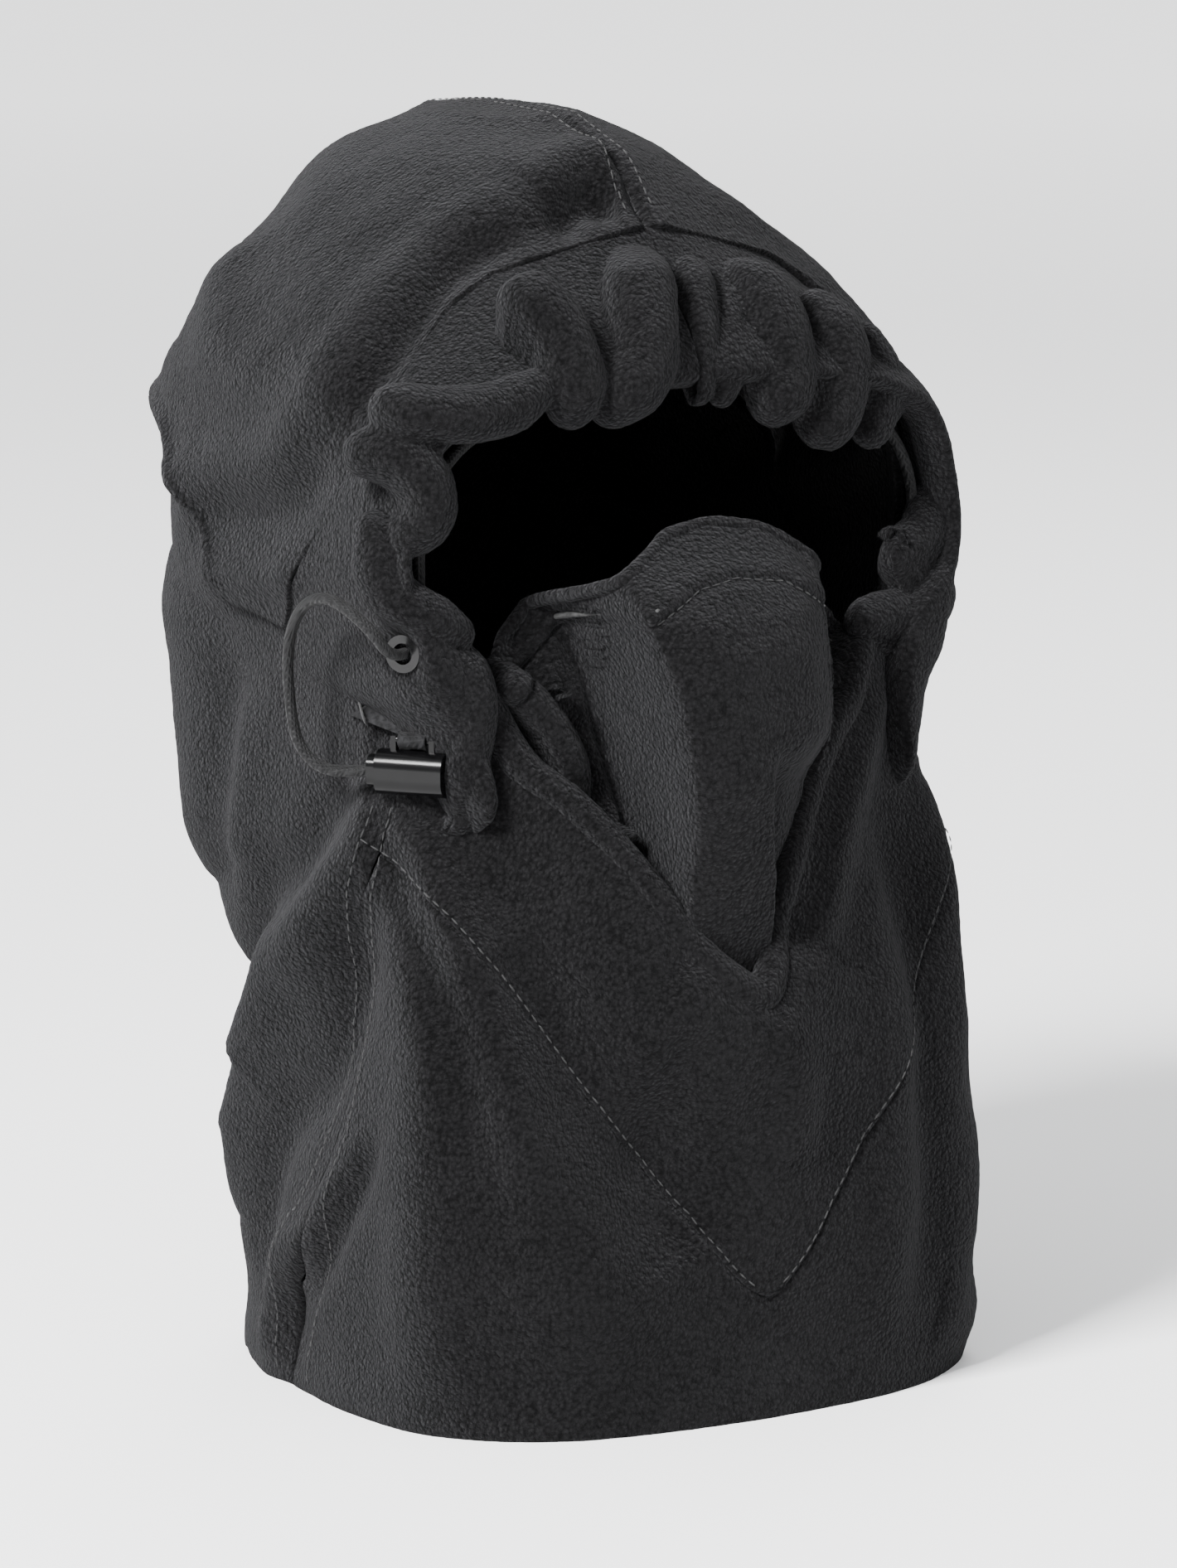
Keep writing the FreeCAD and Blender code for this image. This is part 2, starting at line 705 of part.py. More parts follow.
def finish_piece(item, label, place):
    """Name a piece and set it in its place."""
    item.Label = label
    item.Placement = place
    nodes.append(item)


def build_locks():
    """Oval barrel with a lug bar, sprung plunger ring, spring, webbing tab and bar tack."""
    wall = size("lock_wall")
    play = size("plunger_play")
    for name, side in WORKED.items():
        centre, tangent, normal, place = lock_frame(side)
        shell = block(name + "_barrel", "$lock_length", "$lock_depth", "$lock_height",
                      "-$lock_length / 2", "-$lock_height / 2", size("lock_round"))
        hollow = block(name + "_hollow", "$lock_length - $lock_end", "$lock_depth - 2 * $lock_wall",
                       "$lock_height - 2 * $lock_wall", "-$lock_length / 2",
                       "-$lock_height / 2 + $lock_wall", size("lock_round") - wall)
        body = combine("Cut", name + "_barrel_hollow", shell, hollow)
        bore = rod(name + "_bore", "$plunger_bore", "$lock_length", "0", "0")
        body = combine("Cut", name + "_barrel_bored", body, bore)
        for end, start in (("rear", "-$lug_span / 2 - $lug_post"), ("fore", "$lug_span / 2")):
            post = block(name + "_post_" + end, "$lug_post", "2 * $lug_bar",
                         "$lug_rise + 2 * $lug_bar", start, "$lock_height / 2 - $lug_bar", None)
            body = combine("Fuse", name + "_with_" + end, body, post)
        bar = rod(name + "_bar", "$lug_bar", "$lug_span + $lug_post", "-($lug_span + $lug_post) / 2",
                  "$lock_height / 2 + $lug_rise")
        body = combine("Fuse", name + "_with_bar", body, bar)
        finish_piece(body, name + "_lock_barrel", place)

        sleeve = block(name + "_sleeve", "$plunger_length",
                       "$lock_depth - 2 * $lock_wall - 2 * $plunger_play",
                       "$lock_height - 2 * $lock_wall - 2 * $plunger_play",
                       "-$lock_length / 2 - $plunger_proud",
                       "-$lock_height / 2 + $lock_wall + $plunger_play",
                       size("lock_round") - wall - play)
        throat = rod(name + "_throat", "$plunger_bore", "$plunger_length + 2",
                     "-$lock_length / 2 - $plunger_proud - 1", "0")
        plunger = combine("Cut", name + "_plunger_bored", sleeve, throat)
        finish_piece(plunger, name + "_lock_plunger", place)

        seat = size("lock_length") / 2 - size("lock_end") - size("spring_wire")
        rest = size("plunger_length") - size("plunger_proud") - size("lock_length") / 2
        free = seat - rest - size("spring_wire") - play
        helix = Part.makeHelix(free / size("spring_turns"), free, size("spring_radius"))
        ring = Part.makeCircle(size("spring_wire"), Vector(size("spring_radius"), 0, 0), Vector(0, 1, 0))
        coil = Part.Wire(helix).makePipeShell([Part.Wire([ring])], True, True)
        coil.Placement = Placement(Vector(rest + size("spring_wire") + play, 0, 0),
                                   Rotation(Vector(0, 1, 0), 90))
        coil = coil.transformed(place.toMatrix())
        feature(name + "_lock_spring", coil)
        build_tab(name, side, centre, tangent, normal)


def build_tab(name, side, centre, tangent, normal):
    """Webbing tab from the lug bar to the cloth, and the bar tack that holds it."""
    up = Vector(0, 0, 1)
    eye = size("lug_bar") + size("tab_play")
    full = eye + size("tab_cloth")
    wide = size("tab_width")
    bar = centre + up * (size("lock_height") / 2 + size("lug_rise"))
    ring = Part.makeCylinder(full, wide, bar - tangent * wide / 2, tangent)
    bore = Part.makeCylinder(eye, 3 * wide, bar - tangent * wide * 1.5, tangent)
    here, along, out = skin_frame(size("tack_level"), size("tack_turn"), side)
    lift = size("tab_play")
    far = here + out * lift
    near = bar - normal * (full + size("tab_play"))
    depth = size("tab_cloth")

    def end_wire(point, run, face):
        corners = [point - run * wide / 2, point + run * wide / 2]
        corners += [corners[1] + face * depth, corners[0] + face * depth]
        return Part.makePolygon(corners + corners[:1])

    slant = (along + up * size("tab_slant")).normalize()
    strap = Part.makeLoft([end_wire(near + up * eye / 2, tangent, normal),
                           end_wire(far, slant, out)], True, True)
    tab = ring.fuse(strap).cut(bore)
    keep_off = skin_solid(0.0)
    tab = largest(tab.cut(keep_off))
    feature(name + "_lock_tab", tab)
    long_side = size("tack_long")
    short_side = size("tack_wide")
    tack = Part.makeBox(long_side, short_side, size("tack_thick"),
                        Vector(-long_side / 2, -short_side / 2, 0))
    heading = (far - near).normalize()
    deep = slant.cross(heading).normalize()
    if deep.dot(out) < 0:
        deep = -deep
    tack.Placement = Placement(far + deep * depth - heading * short_side,
                               Rotation(slant, deep.cross(slant), deep, "XYZ"))
    feature(name + "_tab_tack", largest(tack.cut(tab)))


def build_labels():
    """A small blank label on the wearer's left and a blank care label inside the nape."""
    here, tangent, normal = skin_frame(size("label_level"), 180.0 - size("label_turn"), 1.0)
    wide = size("label_wide")
    tall = size("label_tall")
    side_label = Part.makeBox(wide, size("label_thick"), tall, Vector(-wide / 2, 0, -tall / 2))
    place = Placement(here + normal * size("tab_play"),
                      Rotation(tangent, normal, Vector(0, 0, 1), "XYZ"))
    side_label.Placement = place
    side_label = side_label.cut(skin_solid(0.0))
    feature("side_label", largest(side_label))
    values = skin_values(size("care_level") + size("care_tall"))
    inside = values[1] + values[3] - CLOTH - size("care_gap") - size("label_thick")
    care = Part.makeBox(size("care_wide"), size("label_thick"), size("care_tall"),
                        Vector(-size("care_wide") / 2, inside, size("care_level")))
    feature("care_label", care)


rolls = build_rolls()
build_panels(rolls)
build_mask(rolls)
build_cords()
build_eyelets()
build_locks()
build_labels()
doc.recompute()

# ---------------------------------------------------------------- checks and output
for item in doc.Objects:
    if "Invalid" in item.State or "Error" in item.State:
        raise RuntimeError("failed feature: " + item.Name)
for item in nodes:
    if item.Shape.isNull() or not item.Shape.isValid():
        raise RuntimeError("bad shape: " + item.Label)

os.makedirs("parts", exist_ok=True)
for item in nodes:
    item.Shape.exportStep("parts/" + item.Label + ".step")
    print(item.Label, len(item.Shape.Solids), round(item.Shape.Volume, 1))
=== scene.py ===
"""Hooded fleece balaclava: cloth panels, gathers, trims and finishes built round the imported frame."""
import itertools
import logging
import math
from dataclasses import dataclass, field
from enum import Enum
from typing import Callable, Sequence

import bmesh
import bpy
import numpy as np
from mathutils import Matrix, Vector


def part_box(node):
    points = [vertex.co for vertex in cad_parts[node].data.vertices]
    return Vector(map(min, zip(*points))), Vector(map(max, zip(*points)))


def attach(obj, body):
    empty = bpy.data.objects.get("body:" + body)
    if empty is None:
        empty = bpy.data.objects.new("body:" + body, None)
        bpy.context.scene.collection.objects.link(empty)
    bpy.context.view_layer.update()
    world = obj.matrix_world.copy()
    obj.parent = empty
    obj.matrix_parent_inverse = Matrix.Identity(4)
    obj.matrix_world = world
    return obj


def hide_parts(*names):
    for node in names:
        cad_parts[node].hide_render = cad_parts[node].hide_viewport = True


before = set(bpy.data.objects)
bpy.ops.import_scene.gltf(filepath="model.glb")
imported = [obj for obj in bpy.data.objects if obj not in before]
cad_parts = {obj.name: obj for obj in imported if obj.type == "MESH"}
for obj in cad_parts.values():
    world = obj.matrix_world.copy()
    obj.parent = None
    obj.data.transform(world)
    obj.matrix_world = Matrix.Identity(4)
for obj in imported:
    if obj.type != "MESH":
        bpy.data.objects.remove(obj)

logging.basicConfig(level=logging.INFO, format="%(message)s")
log = logging.getLogger("balaclava")

MM = 0.001
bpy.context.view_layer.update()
GARMENT = "garment"
Mapper = Callable[[np.ndarray, np.ndarray], np.ndarray]


class Side(Enum):
    """The wearer's two sides, with the sign of X."""

    RIGHT = -1.0
    LEFT = 1.0

    @property
    def word(self) -> str:
        """Lower-case name used in node and piece names."""
        return self.name.lower()


class Hold(Enum):
    """How a sheet of cloth is held."""

    GATHERED = "gathered"
    DRAPED = "draped"
    STRETCHED = "stretched"


# ------------------------------------------------------------------ number helpers
def lattice_noise(points: np.ndarray, cell: float, seed: int) -> np.ndarray:
    """Smooth value noise from hashed lattice corners.

    Args:
        points: (n, 3) positions.
        cell: size of a lattice cell, in the same unit.
        seed: picks one noise out of many.

    Returns:
        (n,) values from -1 to 1.
    """
    place = points / cell
    base = np.floor(place).astype(np.int64)
    part = place - base
    part = part * part * (3.0 - 2.0 * part)
    total = np.zeros(len(points))
    for corner in itertools.product((0, 1), repeat=3):
        key = (base + corner) * np.array([73856093, 19349663, 83492791])
        code = (key[:, 0] ^ key[:, 1] ^ key[:, 2]) + seed * 7919
        code = (code * 1103515245 + 12345) & 0x7FFFFFFF
        code = (code ^ (code >> 13)) * 1274126177 & 0x7FFFFFFF
        value = code / float(0x7FFFFFFF) * 2.0 - 1.0
        share = np.where(np.array(corner) == 1, part, 1.0 - part).prod(axis=1)
        total += value * share
    return total


def smooth_path(stops: Sequence[Sequence[float]], count: int) -> np.ndarray:
    """Points along a smooth curve through some stops.

    Args:
        stops: the stops, each a row of numbers.
        count: how many points to give.

    Returns:
        (count, k) points, evenly spaced in the stops' parameter.
    """
    rows = np.array(stops, float)
    last = len(rows) - 1
    place = np.linspace(0.0, last, count)
    index = np.minimum(place.astype(int), last - 1)
    t = (place - index)[:, None]
    before = rows[np.maximum(index - 1, 0)]
    here = rows[index]
    there = rows[index + 1]
    after = rows[np.minimum(index + 2, last)]
    lead = (there - before) * 0.5
    tail = (after - here) * 0.5
    cube = 2 * here - 2 * there + lead + tail
    square = 3 * there - 3 * here - 2 * lead - tail
    return ((cube * t + square) * t + lead) * t + here


def cross_curve(stops: np.ndarray, t: np.ndarray) -> np.ndarray:
    """Smooth curves through rows of stops, one curve for each vertex.

    Args:
        stops: (n, k, 3) stops of each vertex's own curve.
        t: (n,) place along it, 0 to 1.

    Returns:
        (n, 3) points.
    """
    last = stops.shape[1] - 1
    place = t * last
    index = np.minimum(place.astype(int), last - 1)
    part = (place - index)[:, None]
    rows = np.arange(len(t))
    before = stops[rows, np.maximum(index - 1, 0)]
    here = stops[rows, index]
    there = stops[rows, index + 1]
    after = stops[rows, np.minimum(index + 2, last)]
    lead = (there - before) * 0.5
    tail = (after - here) * 0.5
    cube = 2 * here - 2 * there + lead + tail
    square = 3 * there - 3 * here - 2 * lead - tail
    return ((cube * part + square) * part + lead) * part + here


def ease(values: np.ndarray, start: float, end: float) -> np.ndarray:
    """Smooth step from 0 at start to 1 at end."""
    share = np.clip((values - start) / (end - start), 0.0, 1.0)
    return share * share * (3.0 - 2.0 * share)


def mapped_normals(mapper: Mapper, u: np.ndarray, v: np.ndarray, step: float) -> np.ndarray:
    """Unit normals of a mapped surface, by small steps in u and v."""
    du = mapper(u + step, v) - mapper(u - step, v)
    dv = mapper(u, v + step) - mapper(u, v - step)
    normal = np.cross(du, dv)
    return normal / np.maximum(np.linalg.norm(normal, axis=1, keepdims=True), 1e-12)


@dataclass(frozen=True)
class Puff:
    """A plump roll of gathered cloth: a route in mm with a radius, under the cloth's face."""

    route: tuple[tuple[float, float, float], ...]
    thick: float

    def mirrored(self) -> "Puff":
        """The same roll on the wearer's other side."""
        return Puff(tuple((-x, y, z) for x, y, z in self.route), self.thick)


def puffed(points: np.ndarray, normals: np.ndarray, puffs: Sequence[Puff], soft: float,
           most: float) -> np.ndarray:
    """How far each point moves along its normal to lie over the rolls.

    Args:
        points: (n, 3) points of the cloth before, in mm.
        normals: (n, 3) outward unit normals.
        puffs: the rolls.
        soft: rounding of the creases between rolls, in mm.
        most: the largest move, in mm.

    Returns:
        (n,) distances from 0 to most.
    """
    total = np.ones(len(points))
    for puff in puffs:
        centres = smooth_path(puff.route, 9 * len(puff.route))
        best = np.zeros(len(points))
        for index, centre in enumerate(centres):
            end = min(index, len(centres) - 1 - index) / (len(centres) / 5.0)
            radius = puff.thick * (0.72 + 0.28 * min(1.0, end))
            reach = centre - points
            along = np.einsum("ij,ij->i", reach, normals)
            aside = radius * radius - np.einsum("ij,ij->i", reach, reach) + along * along
            near = (aside > 0) & (along < 1.15 * radius)
            best = np.maximum(best, np.where(near, along + np.sqrt(np.maximum(aside, 0.0)), 0.0))
        total += np.exp(np.clip(best, 0.0, most) / soft) - 1.0
    return soft * np.log(total)


# ------------------------------------------------------------------ the hood's form
@dataclass(frozen=True)
class Ring:
    """One level section of the hood, in millimetres: a superellipse, squarer at the front."""

    height: float
    centre: float
    half_wide: float
    half_deep: float
    front: float
    back: float


@dataclass(frozen=True)
class Fold:
    """A soft ridge or valley along a route of (turn in degrees, height in mm)."""

    route: tuple[tuple[float, float], ...]
    width: float
    lift: float
    sharp: float = 2.0

    def mirrored(self, share: float, drop: float) -> "Fold":
        """The same fold on the other side, weaker or stronger and moved down a little."""
        route = tuple((180.0 - turn, height - drop) for turn, height in self.route)
        return Fold(route, self.width, self.lift * share, self.sharp)


@dataclass
class Skin:
    """The hood's outer form, and the folds that lie on it."""

    rings: tuple[Ring, ...] = (
        Ring(0, 0, 84, 78, 3.0, 3.0),
        Ring(40, 0, 86, 80, 3.0, 3.0),
        Ring(80, 0, 83, 78, 3.0, 2.8),
        Ring(135, 17, 82, 82, 2.8, 2.5),
        Ring(170, 31, 80, 82, 3.6, 2.4),
        Ring(215, 33, 86, 80, 4.0, 2.4),
        Ring(248, 33, 85, 79, 3.2, 2.4),
        Ring(268, 36, 76, 74, 2.4, 2.3),
        Ring(288, 40, 56, 65, 2.0, 2.0),
        Ring(302, 44, 38, 54, 2.0, 2.0),
        Ring(312, 44, 17, 30, 2.0, 2.0),
    )
    folds: list[Fold] = field(default_factory=list)
    cap_rise: float = 1.2
    cap_rows: int = 12

    def __post_init__(self) -> None:
        """Tabulate the rings, and the height against the distance up the side."""
        table = np.array([[r.height, r.centre, r.half_wide, r.half_deep, r.front, r.back]
                          for r in self.rings])
        self.heights = table[:, 0]
        self.columns = table[:, 1:]
        steps = np.diff(self.columns, axis=0) / np.diff(self.heights)[:, None]
        product = steps[:-1] * steps[1:]
        with np.errstate(divide="ignore", invalid="ignore"):
            middle = np.where(product > 0, 2 * product / (steps[:-1] + steps[1:]), 0.0)
        self.tilts = np.vstack([steps[:1], middle, steps[-1:]])
        climb = np.linspace(0.0, self.heights[-1], 200)
        values = self.values(climb)
        shrink = np.ones(len(climb))
        cap = np.linspace(1.0, 0.0, self.cap_rows + 1)[1:]
        climb = np.append(climb, self.heights[-1] + self.cap_rise * (1 - cap ** 2))
        shrink = np.append(shrink, cap)
        reach = np.append(values[:, 1] * 0.5 + values[:, 2] * 0.5, values[-1, 1] * cap)
        length = np.hypot(np.diff(climb), np.diff(reach))
        self.climb = climb
        self.shrink = shrink
        self.distance = np.append(0.0, np.cumsum(length))

    def values(self, height: np.ndarray) -> np.ndarray:
        """Section numbers at any heights: centre, half width, half depth, front, back."""
        last = len(self.heights) - 1
        z = np.clip(height, 0.0, self.heights[-1])
        index = np.clip(np.searchsorted(self.heights, z, side="right") - 1, 0, last - 1)
        gap = (self.heights[index + 1] - self.heights[index])[:, None]
        t = ((z - self.heights[index]))[:, None] / gap
        low = self.columns[index]
        high = self.columns[index + 1]
        start = t * (1 - t) ** 2 * gap * self.tilts[index]
        end = t * t * (t - 1) * gap * self.tilts[index + 1]
        return low + (high - low) * t * t * (3 - 2 * t) + start + end

    def plain(self, turn: np.ndarray, climb: np.ndarray) -> np.ndarray:
        """Points of the smooth form.

        Args:
            turn: degrees, 0 at the wearer's left, 90 at the face, 180 at the wearer's right.
            climb: distance up the side in mm, from 0 at the hem to the last at the crown.

        Returns:
            (n, 3) points in mm.
        """
        height = np.interp(climb, self.distance, self.climb)
        shrink = np.interp(climb, self.distance, self.shrink)
        values = self.values(height)
        angle = np.radians(turn)
        power = 2.0 / np.where(np.sin(angle) > 0, values[:, 3], values[:, 4])
        across = np.sign(np.cos(angle)) * np.abs(np.cos(angle)) ** power
        along = np.sign(np.sin(angle)) * np.abs(np.sin(angle)) ** power
        x = values[:, 1] * across * shrink
        y = values[:, 0] - values[:, 2] * along * shrink
        return np.stack([x, y, height], axis=1)

    def climb_of(self, height: np.ndarray) -> np.ndarray:
        """Distance up the side at a height."""
        return np.interp(height, self.climb[:200], self.distance[:200])

    def normals(self, turn: np.ndarray, climb: np.ndarray) -> np.ndarray:
        """Outward unit normals of the smooth form."""
        around = self.plain(turn + 1.5, climb) - self.plain(turn - 1.5, climb)
        up = self.plain(turn, np.minimum(climb + 2.0, self.distance[-1])) - self.plain(turn, climb - 2.0)
        normal = np.cross(up, around)
        return normal / np.maximum(np.linalg.norm(normal, axis=1, keepdims=True), 1e-9)

    def turn_at(self, x: float, height: float) -> float:
        """Turn in degrees of the front point with this x at this height, both in mm."""
        wide, front = self.values(np.array([float(height)]))[0][[1, 3]]
        share = min(1.0, abs(x) / wide) ** (front / 2.0)
        turn = math.degrees(math.acos(share))
        return turn if x > 0 else 180.0 - turn

    def lift(self, points: np.ndarray) -> np.ndarray:
        """How far the folds lift each point, in mm."""
        total = np.zeros(len(points))
        for fold in self.folds:
            path = smooth_path(fold.route, 28)
            line = self.plain(path[:, 0], self.climb_of(path[:, 1]))
            nearest = np.full(len(points), 1e9)
            where = np.zeros(len(points))
            for index in range(len(line) - 1):
                span = line[index + 1] - line[index]
                reach = points - line[index]
                t = np.clip(reach @ span / max(span @ span, 1e-9), 0.0, 1.0)
                gap = np.linalg.norm(reach - t[:, None] * span, axis=1)
                closer = gap < nearest
                nearest = np.where(closer, gap, nearest)
                where = np.where(closer, (index + t) / (len(line) - 1), where)
            taper = np.sqrt(np.clip(np.sin(np.pi * np.clip(where, 0.02, 0.98)) * 1.6, 0, 1))
            total += fold.lift * taper * np.exp(-(nearest / fold.width) ** fold.sharp)
        return total

    def draped(self, turn: np.ndarray, climb: np.ndarray, inset: float = 0.0) -> np.ndarray:
        """Points of the folded cloth, inset by some mm."""
        points = self.plain(turn, climb)
        soft = lattice_noise(points, 38.0, 5) * 1.5 + lattice_noise(points, 17.0, 9) * 0.6
        hem = 2.4 * np.exp(-(points[:, 2] / 11.0) ** 2)
        quiet = ease(self.distance[-1] - climb, 0.0, 26.0)
        out = (self.lift(points) + soft) * quiet + hem - inset
        return points + self.normals(turn, climb) * out[:, None]


def right_folds() -> list[Fold]:
    """Folds of the wearer's right side and the chest, from the lock down and over the crown."""
    return [
        Fold(((150, 156), (163, 136), (176, 117), (186, 98), (196, 78), (202, 56), (204, 34)), 13, 9.0),
        Fold(((207, 62), (208, 34), (208, 4), (208, -30), (208, -60)), 26, -4.5),
        Fold(((160, 158), (172, 138), (186, 118), (200, 98), (214, 84)), 9, -6.0),
        Fold(((158, 130), (172, 96), (184, 60), (190, 22)), 8, -4.6),
        Fold(((146, 150), (150, 105), (152, 60), (152, 8)), 13, 6.4),
        Fold(((130, 122), (117, 92), (103, 64), (97, 40)), 16, -9.5),
        Fold(((206, 196), (213, 160), (214, 118)), 28, 8.0),
        Fold(((202, 92), (213, 80), (226, 74)), 24, -6.5),
        Fold(((118, 163), (109, 152), (105, 141), (100, 128), (96, 116)), 13, 3.6),
        Fold(((99, 112), (90, 101), (84, 116)), 16, 4.6),
        Fold(((88, 118), (85, 134), (81, 150), (77, 161), (70, 171)), 12, 3.6),
        Fold(((90, 98), (88, 86), (88, 62)), 6, 3.6),
        Fold(((97, 100), (99, 80), (104, 58)), 8, -2.6),
        Fold(((146, 150), (139, 124), (131, 92), (128, 60)), 7, 2.8),
        Fold(((152, 146), (146, 110), (141, 70)), 5, -2.6),
        Fold(((164, 70), (174, 46), (180, 24), (182, 3)), 4.5, -4.0),
        Fold(((169, 68), (178, 44), (186, 20), (188, 4)), 6, 3.2),
        Fold(((116, 288), (106, 294), (95, 293)), 6, -6.5),
        Fold(((120, 296), (106, 303), (93, 302)), 8, 3.4),
        Fold(((122, 287), (134, 279), (142, 262), (152, 246)), 5, -3.4),
        Fold(((126, 296), (142, 284), (152, 264), (166, 244)), 9, 3.0),
        Fold(((196, 205), (184, 214), (172, 222), (160, 236)), 7, -3.0),
        Fold(((200, 214), (188, 224), (176, 232), (164, 246)), 8, 3.0),
        Fold(((190, 196), (180, 202), (171, 205)), 5, 2.6),
        Fold(((205, 280), (190, 262), (176, 250)), 11, 2.8),
        Fold(((215, 255), (222, 215), (226, 160)), 15, 3.0),
        Fold(((186, 180), (192, 150), (204, 118)), 9, -3.4),
        Fold(((178, 176), (184, 150), (192, 126)), 8, 2.6),
    ]


def left_folds() -> list[Fold]:
    """Folds of the wearer's left side."""
    share = [fold.mirrored(0.6, 4.0) for fold in right_folds()[:5]]
    share += [fold.mirrored(0.85, 3.0) for fold in right_folds()[13:17]]
    share += [fold.mirrored(0.9, 2.0) for fold in right_folds()[20:28]]
    share += [fold.mirrored(0.9, 0.0) for fold in right_folds()[6:8]]
    share += [
        Fold(((84, 108), (76, 134), (66, 158), (58, 172)), 6, 3.6),
        Fold(((60, 150), (56, 108), (58, 60), (62, 20)), 9, -3.4),
        Fold(((70, 128), (68, 90), (72, 48), (76, 12)), 9, 2.8),
        Fold(((42, 165), (38, 120), (42, 70), (46, 15)), 10, 3.4),
        Fold(((58, 18), (44, 12), (30, 14)), 9, 3.6),
    ]
    return share


def back_folds() -> list[Fold]:
    """Broad folds of the nape and the back hem."""
    return [
        Fold(((268, 196), (266, 130), (272, 60), (270, 8)), 18, 4.0),
        Fold(((238, 190), (240, 120), (236, 50), (238, 6)), 15, -4.4),
        Fold(((302, 190), (298, 130), (304, 60), (300, 6)), 15, -4.0),
        Fold(((228, 150), (250, 136), (270, 132)), 9, -3.6),
        Fold(((312, 156), (292, 142), (272, 138)), 9, -3.2),
        Fold(((232, 172), (252, 160), (276, 158), (306, 170)), 9, 3.4),
        Fold(((255, 300), (262, 270), (258, 250)), 13, 2.4),
    ]


# ------------------------------------------------------------------ meshes
@dataclass(frozen=True)
class Weave:
    """Fine relief pushed into a cloth's vertices, in millimetres."""

    nap: float = 0.15
    nap_cell: float = 1.15
    clump: float = 0.10
    clump_cell: float = 3.1


FLEECE_NAP = Weave()


def nap_relief(points: np.ndarray, weave: Weave) -> np.ndarray:
    """Height of the brushed nap at each point, in mm."""
    fine = lattice_noise(points, weave.nap_cell, 21) * weave.nap
    return fine + lattice_noise(points, weave.clump_cell, 34) * weave.clump


def link(name: str, mesh: bpy.types.Mesh) -> bpy.types.Object:
    """Put a mesh into the scene under a name, at the origin."""
    item = bpy.data.objects.new(name, mesh)
    bpy.context.scene.collection.objects.link(item)
    return item


def grid_piece(name: str, columns: int, rows: int, mapper: Mapper, weave: Weave | None = None,
               around: bool = False) -> bpy.types.Object:
    """A sheet or tube made from a flat grid moved onto a mapped surface.

    Args:
        name: the piece's name.
        columns: faces along u.
        rows: faces along v.
        mapper: gives points in mm for u and v from 0 to 1.
        weave: fine relief along the normals, if any.
        around: True when v comes back to its start, as on a tube.

    Returns:
        The new object, in metres.
    """
    work = bmesh.new()
    bmesh.ops.create_grid(work, x_segments=columns, y_segments=rows, size=1.0)
    mesh = bpy.data.meshes.new(name)
    work.to_mesh(mesh)
    flat = np.empty(len(mesh.vertices) * 3)
    mesh.vertices.foreach_get("co", flat)
    u, v = (flat.reshape(-1, 3)[:, :2].T + 1.0) * 0.5
    points = mapper(u, v)
    if weave is not None:
        points = points + mapped_normals(mapper, u, v, 1e-4) * nap_relief(points, weave)[:, None]
    mesh.vertices.foreach_set("co", (points * MM).ravel())
    work.free()
    work = bmesh.new()
    work.from_mesh(mesh)
    if around:
        bmesh.ops.remove_doubles(work, verts=work.verts, dist=0.02 * MM)
    bmesh.ops.recalc_face_normals(work, faces=work.faces)
    for face in work.faces:
        face.smooth = True
    work.to_mesh(mesh)
    work.free()
    return link(name, mesh)


def face_out(piece: bpy.types.Object, centre: Vector) -> None:
    """Turn an open sheet's faces so that they look away from a centre."""
    mesh = piece.data
    score = 0.0
    for face in itertools.islice(mesh.polygons, 0, None, 97):
        score += face.normal.dot(face.center - centre)
    if score < 0:
        mesh.flip_normals()


def thicken(piece: bpy.types.Object, depth: float) -> None:
    """Give a sheet its thickness on its inner side, in mm."""
    wall = piece.modifiers.new("thickness", "SOLIDIFY")
    wall.thickness = depth * MM
    wall.offset = -1.0
    wall.use_even_offset = False


def tube_along(name: str, route: np.ndarray, radius: Callable[[np.ndarray], np.ndarray],
               columns: int, sides: int, weave: Weave | None = None) -> bpy.types.Object:
    """A round roll of cloth along a route.

    Args:
        name: the piece's name.
        route: (n, 3) stops in mm.
        radius: gives the radius in mm for u from 0 to 1.
        columns: faces along it.
        sides: faces round it.
        weave: fine relief, if any.

    Returns:
        The new object.
    """
    line = smooth_path(route, 240)
    heading = np.gradient(line, axis=0)
    heading /= np.linalg.norm(heading, axis=1, keepdims=True)
    aside = np.cross(heading, np.array([0.0, 1.0, 0.0]))
    aside /= np.maximum(np.linalg.norm(aside, axis=1, keepdims=True), 1e-9)
    lift = np.cross(aside, heading)
    places = np.linspace(0.0, 1.0, len(line))

    def at(u: np.ndarray, table: np.ndarray) -> np.ndarray:
        """Read a table of rows at u."""
        return np.stack([np.interp(u, places, table[:, k]) for k in range(3)], axis=1)

    def mapper(u: np.ndarray, v: np.ndarray) -> np.ndarray:
        """Points round the line."""
        closing = np.sqrt(np.clip(1.0 - (np.abs(u - 0.5) * 2.0) ** 24, 0.0, 1.0))
        size = (radius(u) * closing)[:, None]
        angle = (v * 2.0 * np.pi)[:, None]
        return at(u, line) + (at(u, aside) * np.cos(angle) + at(u, lift) * np.sin(angle)) * size

    return grid_piece(name, columns, sides, mapper, weave, around=True)


# ------------------------------------------------------------------ finishes
def new_group(name: str) -> tuple[bpy.types.NodeTree, bpy.types.Node, bpy.types.Node]:
    """An empty shader node group with its input and output nodes."""
    tree = bpy.data.node_groups.new(name, "ShaderNodeTree")
    return tree, tree.nodes.new("NodeGroupInput"), tree.nodes.new("NodeGroupOutput")


